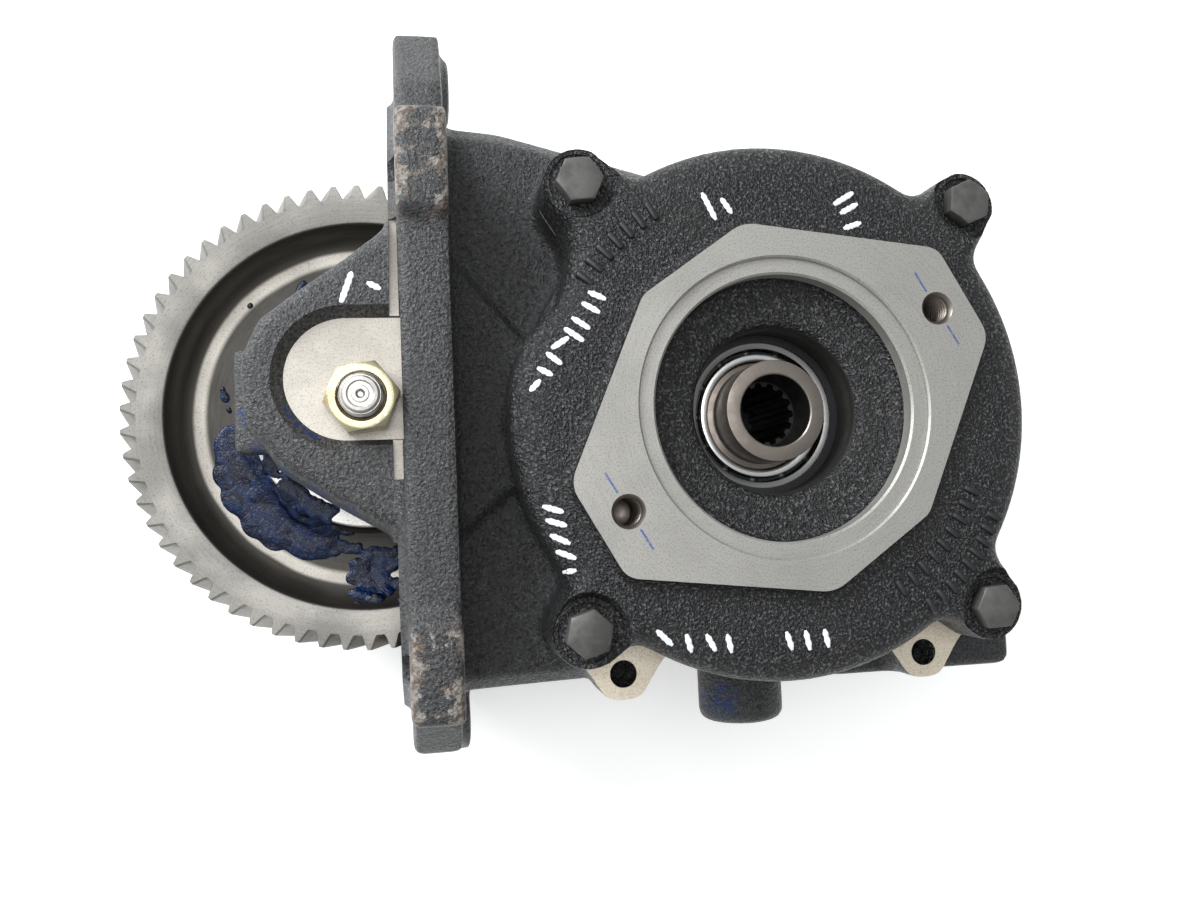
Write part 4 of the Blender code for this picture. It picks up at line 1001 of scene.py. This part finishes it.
def build_bearings():
    for tag, r_in, r_i, r_o, r_out, z0, z1, br, count in (
            ("front", 22.4, 25.1, 27.1, 33.8, -43.3, -31.3, 2.6, 13),
            ("rear", 17.7, 23.4, 30.0, 35.75, -127.5, -110.5, 5.0, 8)):
        zc = (z0 + z1) / 2
        pitch = (r_i + r_o) / 2
        g = br + 0.35

        def groove(land, side):
            off = abs(land - pitch)
            a0 = math.degrees(math.acos(off / g))
            if side > 0:
                return arc(pitch, zc, g, a0, -a0, 14)
            return arc(pitch, zc, g, a0 + 2 * (90 - a0) if False else 180 - a0, 180 + a0, 14)
        c = 0.5
        outer = [(r_out, z0 + c), (r_out, z1 - c), (r_out - 0.15, z1 - 0.15), (r_out - c, z1),
                 (r_o + 0.35, z1), (r_o + 0.1, z1 - 0.1), (r_o, z1 - 0.35)] + groove(r_o, 1) \
            + [(r_o, z0 + 0.3), (r_o + 0.3, z0), (r_out - c, z0)]
        inner = [(r_in, z0 + c), (r_in, z1 - c), (r_in + 0.15, z1 - 0.15), (r_in + c, z1),
                 (r_i - 0.35, z1), (r_i - 0.1, z1 - 0.1), (r_i, z1 - 0.35)] + groove(r_i, -1) \
            + [(r_i, z0 + 0.3), (r_i - 0.3, z0), (r_in + c, z0)]
        ring_piece(tag + "_ring_out", "casing", "bearing_steel", M["race"], outer, 0, 0,
                   tag + "_bearing_outer_ring", 144)
        ring_piece(tag + "_ring_in", "output_assembly", "bearing_steel", M["bearing"], inner, 0, 0,
                   tag + "_bearing_inner_ring", 144)
        t = (r_o - r_i) / 2 - 0.40
        w = br * 0.72
        parts = [lathe("c", [(pitch - t, zc - w), (pitch + t, zc - w), (pitch + t, zc + w),
                             (pitch - t, zc + w)], 144)]
        n_cage = len(parts[0].data.polygons)
        for i in range(count):
            a = 2 * math.pi * (i + 0.5) / count
            cx, cy = pitch * math.cos(a), pitch * math.sin(a)
            prof = [(0, zc - br)] + [(br * math.sin(math.radians(q)), zc - br * math.cos(math.radians(q)))
                                     for q in range(12, 180, 12)] + [(0, zc + br)]
            parts.append(lathe("b", prof[:-1] + [(0, zc + br)], 24, cx, cy))
        ob = merge(tag + "_balls", parts)
        sharpen(ob, 30)
        # balls in the dark bored_wall colour and a near-black cage: painted shade in the gap between the rings
        own(ob, [M["wall"], M["cage"]])
        for poly in ob.data.polygons[:n_cage]:
            poly.material_index = 1
        piece(ob, tag + "_ball_set", "bearing_steel", tag + "_bearing_ball_cage")


def threaded(name, x, y, r, z0, z1, pitch=2.0, depth=0.9, turns_seg=48):
    """Helical thread surface between z0 and z1, closed by flat ends."""
    steps = int((z1 - z0) / pitch * turns_seg)
    cols = []
    # profile across one pitch, swept as a helicoid on a grid of angle and height
    rows = 6
    n_turn = turns_seg
    levels = int(round((z1 - z0) / pitch * rows))
    verts, faces = [], []
    for k in range(levels + 1):
        z = z0 + (z1 - z0) * k / levels
        for i in range(n_turn):
            a = 2 * math.pi * i / n_turn
            ph = ((z - z0) / pitch - i / n_turn) % 1.0
            tri = abs(2 * ph - 1.0)
            d = depth * min(1.0, max(0.0, (tri - 0.10) / 0.75))
            fade = min(1.0, (z1 - z) / 0.8, (z - z0) / 0.8 + 0.2)
            rr = r - d * (1.0 if fade > 0.99 else max(fade, 0.0)) - (1 - max(min(fade, 1), 0)) * depth * 0.9
            verts.append((x + rr * math.cos(a), y + rr * math.sin(a), z))
    for k in range(levels):
        for i in range(n_turn):
            j = (i + 1) % n_turn
            faces.append((k * n_turn + i, k * n_turn + j, (k + 1) * n_turn + j, (k + 1) * n_turn + i))
    faces.append(tuple(range(n_turn)))
    faces.append(tuple(range(levels * n_turn, (levels + 1) * n_turn)))
    return obj_from(name, verts, faces, 20)


def build_idler():
    body = lathe("s", [(0, -138.0), (16.2, -138.0), (17.0, -137.2), (17.0, -32.4), (16.4, -31.8),
                       (7.2, -31.8), (7.2, -20.5), (0, -20.5)], 128, AX, AY)
    thread = threaded("t", AX, AY, 7.85, -23.0, -4.6, 2.0, 0.85)
    tip = lathe("p", [(0, -6.0), (6.9, -6.0), (6.9, -4.7), (6.7, -3.4), (6.0, -2.75), (4.9, -2.6), (4.5, -2.75),
                      (4.35, -3.3), (3.2, -3.3), (3.05, -2.8), (2.6, -2.7), (1.7, -2.8), (0.9, -4.6), (0, -5.4)],
                96, AX, AY)
    ob = merge("idler_shaft_fine", [body, thread, tip])
    sharpen(ob, 24)
    own(ob, M["steel"])
    piece(ob, "casing", "ground_steel", "idler_shaft")
    nut = prism("n", circle(AX, AY, 12.0 / math.cos(math.pi / 6), 6, math.radians(8)), -21.6, -8.8)
    cut(nut, lathe("c", [(0, -30.0), (16.0, -30.0), (16.0, -22.0), (13.9, -20.9), (13.9, -10.6), (11.9, -8.95),
                         (11.4, -8.8), (9.3, -8.8), (8.05, -10.0), (8.05, -31.0), (0, -31.0)][0:8]
                   + [(0, -8.8)], 96, AX, AY), solver="EXACT", operation="INTERSECT")
    cut(nut, lathe("h", [(0, -30.0), (8.1, -30.0), (8.1, -10.0), (9.4, -8.5), (0, -8.5)], 96, AX, AY),
        solver="EXACT")
    bev = nut.modifiers.new("b", "BEVEL")
    bev.width = 0.3 * MM
    bev.segments = 2
    bev.limit_method = "ANGLE"
    bev.angle_limit = math.radians(45)
    bake_modifiers(nut)
    nut.name = "idler_nut_fine"
    sharpen(nut, 30)
    own(nut, M["zinc"])
    piece(nut, "casing", "yellow_zinc", "idler_nut")
    for name, z0, z1 in (("front", -66.5, -64.4), ("rear", -97.6, -95.5)):
        ring_piece("washer_" + name, "casing", "bronze", M["bronze"],
                   [(17.5, z0), (36.7, z0), (37.0, z0 + 0.3), (37.0, z1 - 0.3), (36.7, z1), (17.5, z1)],
                   AX, AY, "thrust_washer_" + name)


def build_rear():
    ob = lathe("rear_cap_fine", [(0, -154.0), (45.2, -154.0), (46.5, -153.6), (47.0, -152.6), (47.0, -140.8),
                                 (35.7, -140.8), (35.7, -127.9), (31.0, -127.9), (31.0, -141.5),
                                 (0, -141.5)], 144)
    for i in range(4):
        a = math.radians(45 + 90 * i)
        cut(ob, lathe("m", [(0, -160.0), (5.8, -160.0), (5.8, -146.8), (3.6, -146.8),
                            (3.6, -130.0), (0, -130.0)], 48,
                      41.5 * math.cos(a), 41.5 * math.sin(a)))
    sharpen(ob, 30)
    own(ob, M["cast"])
    piece(ob, "casing", "black_casting", "rear_cap")
    for i in range(4):
        a = math.radians(45 + 90 * i)
        x, y = 41.5 * math.cos(a), 41.5 * math.sin(a)
        s = lathe("s", [(0, -121.0), (2.9, -121.0), (2.9, -147.1), (5.0, -147.1), (5.0, -152.7),
                        (4.5, -153.2), (0, -153.2)], 40, x, y)
        cut(s, prism("x", circle(x, y, 2.9, 6, 0.3 * i), -160.0, -149.8), solver="EXACT")
        s.name = "rear_screw_%d" % (i + 1)
        sharpen(s, 30)
        own(s, M["black_oxide"])
        piece(s, "casing", "black_oxide", "rear_cap_screw_%d" % (i + 1))
    plug = loft("port_plug_fine", [[(x, -112.0, z) for x, z in circle(-4.6, -64.0, 9.0, 64)],
                                   [(x, -125.6, z) for x, z in circle(-4.6, -64.0, 9.0, 64)],
                                   [(x, -126.3, z) for x, z in circle(-4.6, -64.0, 8.4, 64)]])
    cut(plug, prism_y("x", circle(-4.6, -64.0, 4.6, 6), -140.0, -119.0), solver="EXACT")
    sharpen(plug, 30)
    own(plug, M["bolt"])
    piece(plug, "casing", "bolt_steel", "port_plug")
    ring_piece("shim_ring", "casing", "black_oxide", M["black_oxide"],
               [(29.5, -29.9), (33.8, -29.9), (33.8, -31.0), (29.5, -31.0)], 0, 0, "preload_shim")


# -------------------------------------------------------------------- build
build_housing()
finish_cover(build_cover())
build_gasket()
for _i, (_tag, _turn) in enumerate((("tl", 0.10), ("tr", 0.42), ("bl", 0.30), ("br", 0.05))):
    hex_bolt(_tag, COVER_BOLTS[_i][0], COVER_BOLTS[_i][1], _turn)
build_input_gear()
build_output_gear()
build_output_shaft()
build_bearings()
build_idler()
build_rear()

def surface_z(tree, x, y, start):
    hit = tree.ray_cast(Vector((x * MM + SHIFT.x, y * MM + SHIFT.y, start * MM + SHIFT.z)), Vector((0, 0, -1)))
    return None if hit[0] is None else (hit[0].z - SHIFT.z) / MM


def stroke(tree, points, width, start, name):
    """A dab of paint marker that follows the casting under it."""
    pts = []
    for a, b in zip(points, points[1:]):
        steps = max(2, int(math.hypot(b[0] - a[0], b[1] - a[1]) / 0.8))
        for k in range(steps):
            t = k / steps
            pts.append((a[0] + (b[0] - a[0]) * t, a[1] + (b[1] - a[1]) * t))
    pts.append(points[-1])
    for _k in range(3):
        pts = [pts[0]] + [((p[0] + q[0] + r[0]) / 3, (p[1] + q[1] + r[1]) / 3)
                          for p, q, r in zip(pts, pts[1:], pts[2:])] + [pts[-1]]
    rings = []
    n = len(pts)
    known = [z for z in (surface_z(tree, p[0], p[1], start) for p in pts) if z is not None]
    last = known[0]
    for k, (x, y) in enumerate(pts):
        q, r = pts[max(0, k - 1)], pts[min(n - 1, k + 1)]
        tx, ty = r[0] - q[0], r[1] - q[1]
        ln = math.hypot(tx, ty)
        nx, ny = -ty / ln, tx / ln
        end = min(1.0, 0.45 + 0.55 * min(k, n - 1 - k) / 1.6)
        w = width * end * (1.0 + 0.16 * math.sin(k * 1.7 + x)) / 2
        ring = []
        for off, lift in ((-1.0, -0.35), (-1.0, 0.02), (-0.7, 0.12), (0.7, 0.12), (1.0, 0.02), (1.0, -0.35)):
            px, py = x + nx * w * off, y + ny * w * off
            z = surface_z(tree, px, py, start)
            if z is None or abs(z - last) > 1.2:
                z = last
            last = z
            ring.append((px, py, z + lift))
        rings.append(ring)
    return loft(name, rings, 60)


from mathutils.bvhtree import BVHTree


def tree_of(ob):
    me = ob.data
    return BVHTree.FromPolygons([v.co for v in me.vertices], [tuple(p.vertices) for p in me.polygons])


def build_strokes(cover, housing):
    tree = tree_of(cover)
    groups = [
        [[(-96.5, 8.5), (-92.5, 12.5)], [(-93.5, 17.0), (-88.0, 14.0)], [(-90.0, 22.5), (-84.5, 18.0)],
         [(-88.0, 24.0), (-81.5, 28.0)], [(-83.0, 31.5), (-76.0, 26.5)], [(-80.0, 35.5), (-73.5, 31.0)],
         [(-76.0, 41.0), (-69.5, 37.0)], [(-73.5, 45.0), (-67.0, 42.0)]],
        [[(-93.5, -33.5), (-86.0, -36.0)], [(-92.5, -38.5), (-85.0, -41.0)], [(-91.0, -44.0), (-84.0, -47.5)],
         [(-89.0, -50.0), (-82.0, -53.0)], [(-86.5, -58.0), (-82.0, -57.2)]],
        [[(-28.0, 83.0), (-23.0, 72.5)], [(-20.5, 81.0), (-16.5, 75.0)]],
        [[(25.0, 79.0), (33.5, 84.0)], [(27.5, 75.5), (35.0, 79.5)], [(28.5, 69.5), (36.0, 72.0)]],
        [[(-53.5, -80.5), (-47.5, -86.5)], [(-42.5, -82.5), (-40.5, -89.5)], [(-35.0, -83.0), (-31.5, -89.5)],
         [(-27.0, -83.5), (-25.5, -90.5)], [(-4.0, -84.0), (-2.0, -91.0)], [(3.5, -84.0), (5.0, -91.5)],
         [(11.0, -84.0), (12.5, -91.0)]],
    ]
    parts = [stroke(tree, line, 2.1, 6.0, "w") for g in groups for line in g]
    ob = merge("paint_marks_cover", parts)
    own(ob, M["white_ink"])
    ob.data.shade_smooth()
    piece(ob, "casing", "black_casting")
    tree = tree_of(housing)
    parts = [stroke(tree, line, 2.2, -10.0, "w") for line in
             ([(-163.2, 44.0), (-159.0, 55.5)], [(-153.8, 51.5), (-148.8, 49.0)])]
    ob = merge("paint_marks_ear", parts)
    own(ob, M["white_ink"])
    ob.data.shade_smooth()
    piece(ob, "casing", "black_casting")


def blob(x, y, z, rx, rz, spin, squash):
    """One squashed dab of grease."""
    rows = []
    for q in range(0, 181, 15):
        w = math.sin(math.radians(q))
        rows.append((rx * w, z - rz * math.cos(math.radians(q))))
    ob = lathe("g", [(0, rows[0][1])] + rows[1:-1] + [(0, rows[-1][1])], 20)
    c, s = math.cos(spin), math.sin(spin)
    for v in ob.data.vertices:
        lx, ly = (v.co.x - SHIFT.x), (v.co.y - SHIFT.y) * squash
        v.co.x = SHIFT.x + x * MM + lx * c - ly * s
        v.co.y = SHIFT.y + y * MM + lx * s + ly * c
    return ob


def build_marks(cover):
    """Rows of plain raised bars where the casting carries its foundry marks."""
    tree = tree_of(cover)
    parts = []
    for rad, a0, a1, count, length in ((89.5, 146.0, 122.5, 7, 7.0), (95.5, -54.5, -28.0, 9, 6.5),
                                       (82.5, -58.5, -24.5, 9, 6.5)):
        for k in range(count):
            a = math.radians(a0 + (a1 - a0) * k / (count - 1))
            cx, cy = rad * math.cos(a), rad * math.sin(a)
            z = surface_z(tree, cx, cy, 6.0)
            rings = []
            for lift, grow in ((-1.2, 0.55), (0.25, 0.40), (0.95, 0.0), (1.15, -0.35)):
                hl, hw = length / 2 + grow, 1.0 + grow
                pts = rounded([(hl, hw), (-hl, hw), (-hl, -hw), (hl, -hw)], min(hw, hl) * 0.8, 4)
                rings.append([(cx + p * math.cos(a) - q * math.sin(a), cy + p * math.sin(a) + q * math.cos(a),
                               z + lift) for p, q in pts])
            parts.append(loft("t", rings))
    ob = merge("raised_blank_marks", parts)
    own(ob, M["mark"])
    ob.data.shade_smooth()
    piece(ob, "casing", "black_casting")


def build_grease(gear_ob):
    rng = random.Random(41)
    tree = tree_of(gear_ob)
    parts = []

    def dab(r, deg, size, thick):
        a = math.radians(deg)
        x, y = AX + r * math.cos(a), AY + r * math.sin(a)
        z = surface_z(tree, x, y, -60.0)
        if z is None:
            return
        z = min(z, -66.0)
        parts.append(blob(x, y, z - thick * 0.25, size, thick, a + math.pi / 2 + rng.uniform(-0.5, 0.5),
                          rng.uniform(0.55, 0.9)))
    for _k in range(190):
        deg = rng.uniform(-172.0, -110.0)
        r = rng.uniform(47.0, 60.0 + 6.0 * math.sin(math.radians((deg + 172) * 3)))
        dab(r, deg, rng.uniform(4.0, 8.0), rng.uniform(0.9, 1.5))
    for _k in range(16):
        deg = rng.uniform(-170.0, -118.0)
        r = rng.uniform(46.0, 64.0)
        dab(r, deg, rng.uniform(2.0, 3.4), rng.uniform(1.4, 2.2))
    for _k in range(60):
        deg = rng.uniform(-160.0, -112.0)
        dab(rng.uniform(40.5, 47.5), deg, rng.uniform(1.6, 4.4), rng.uniform(0.4, 0.9))
    for _k in range(70):
        dab(rng.uniform(57.0, 79.0), rng.uniform(-97.0, -79.0), rng.uniform(1.8, 4.6), rng.uniform(0.6, 1.3))
    for _k in range(26):
        dab(rng.uniform(49.0, 60.0), rng.uniform(-112.0, -95.0), rng.uniform(1.4, 3.4), rng.uniform(0.5, 1.0))
    for r, deg, size in ((59.0, 171.0, 2.8), (60.5, 168.0, 2.0), (57.0, 176.0, 2.2), (62.0, 115.5, 3.6),
                         (60.0, 117.5, 2.4), (67.4, 135.0, 1.8)):
        dab(r, deg, size, 1.1)
    ob = merge("grease", parts)
    mod = ob.modifiers.new("r", "REMESH")
    mod.mode = "VOXEL"
    mod.voxel_size = 0.6 * MM
    sm = ob.modifiers.new("s", "SMOOTH")
    sm.factor = 0.5
    sm.iterations = 12
    bake_modifiers(ob)
    top = SHIFT.z - 64.7 * MM
    for v in ob.data.vertices:
        v.co.z = min(v.co.z, top)
    ob.data.shade_smooth()
    own(ob, M["grease"])
    piece(ob, "input_gear", "gear_steel")


build_strokes(bpy.data.objects["cover_casting"], bpy.data.objects["housing_casting"])
build_grease(bpy.data.objects["input_gear_fine"])
build_marks(bpy.data.objects["cover_casting"])

# hidden CAD pieces keep their shape and take a finished material
SLOT_MATS = {"black_casting": M["cast"], "gear_steel": M["gear"], "ground_steel": M["shaft"],
             "bearing_steel": M["bearing"], "bolt_steel": M["bolt"], "yellow_zinc": M["zinc"],
             "gasket_paper": M["paper"], "black_oxide": M["black_oxide"], "bronze": M["bronze"]}
for _sub in frame["record"]["subparts"]:
    _ob = frame["nodes"].get(_sub["node"])
    if _ob is None:
        continue
    for _s in _ob.material_slots:
        _s.link = "OBJECT"
        _s.material = SLOT_MATS[_sub["material_slot"]]

# ------------------------------------------------------------ floor and light
fl = bpy.data.meshes.new("floor")
bm = bmesh.new()
bmesh.ops.create_grid(bm, x_segments=2, y_segments=2, size=3.0)
bm.to_mesh(fl)
bm.free()
floor = bpy.data.objects.new("floor", fl)
SCENE.collection.objects.link(floor)
floor.location = (0, 0, -0.0002)
own(floor, floor_mat())

world = bpy.data.worlds.new("studio")
SCENE.world = world
world.use_nodes = True
wt = world.node_tree
bg = wt.nodes["Background"]
wc = wt.nodes.new("ShaderNodeTexCoord")
wd = wt.nodes.new("ShaderNodeVectorMath")
wd.operation = "DOT_PRODUCT"
wd.inputs[1].default_value = (-0.80, 0.42, 0.43)
wr = wt.nodes.new("ShaderNodeMapRange")
wr.inputs["From Min"].default_value = -0.2
wr.inputs["From Max"].default_value = 1.0
wr.inputs["To Min"].default_value = 0.40
wr.inputs["To Max"].default_value = 1.10
wt.links.new(wc.outputs["Generated"], wd.inputs[0])
wt.links.new(wd.outputs["Value"], wr.inputs["Value"])
wt.links.new(wr.outputs[0], bg.inputs[1])
bg.inputs[0].default_value = (0.95, 0.975, 1.0, 1.0)


def area(name, loc, target, size, power, color=(1, 1, 1)):
    li = bpy.data.lights.new(name, "AREA")
    li.shape = "RECTANGLE"
    li.size, li.size_y = size
    li.energy = power
    li.color = color
    ob = bpy.data.objects.new(name, li)
    SCENE.collection.objects.link(ob)
    ob.location = loc
    d = Vector(target) - Vector(loc)
    ob.rotation_euler = d.to_track_quat("-Z", "Y").to_euler()
    return ob


area("window", (-1.1, 1.0, 1.05), (0, 0, 0.1), (1.1, 0.8), 40.0, (0.95, 0.98, 1.0))
area("top", (-0.25, 0.2, 1.7), (0, 0, 0.05), (0.9, 0.9), 8.0)

# -------------------------------------------------------------------- camera
FOCAL_PX = 1000.0
R = ((0.98295, -0.0439, 0.17857), (0.03115, 0.9968, 0.07359), (-0.18123, -0.06677, 0.98117))
T = (70.78, 16.42, -374.9)
rot = Matrix(R)
pos = -(rot.transposed() @ Vector(T))
cam = bpy.data.cameras.new("camera")
cam.sensor_width = 36.0
cam.lens = FOCAL_PX / 1200.0 * 36.0
cam.clip_start = 0.01
cam_ob = bpy.data.objects.new("camera", cam)
SCENE.collection.objects.link(cam_ob)
m4 = rot.transposed().to_4x4()
m4.translation = pos * MM + SHIFT
cam_ob.matrix_world = m4
SCENE.camera = cam_ob
SCENE.view_settings.view_transform = "Standard"

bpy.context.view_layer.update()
for _o in PIECES:
    _o.data.calc_loop_triangles()
    if len(_o.data.loop_triangles) > 60000:
        print("TRIS", _o.name, len(_o.data.loop_triangles))
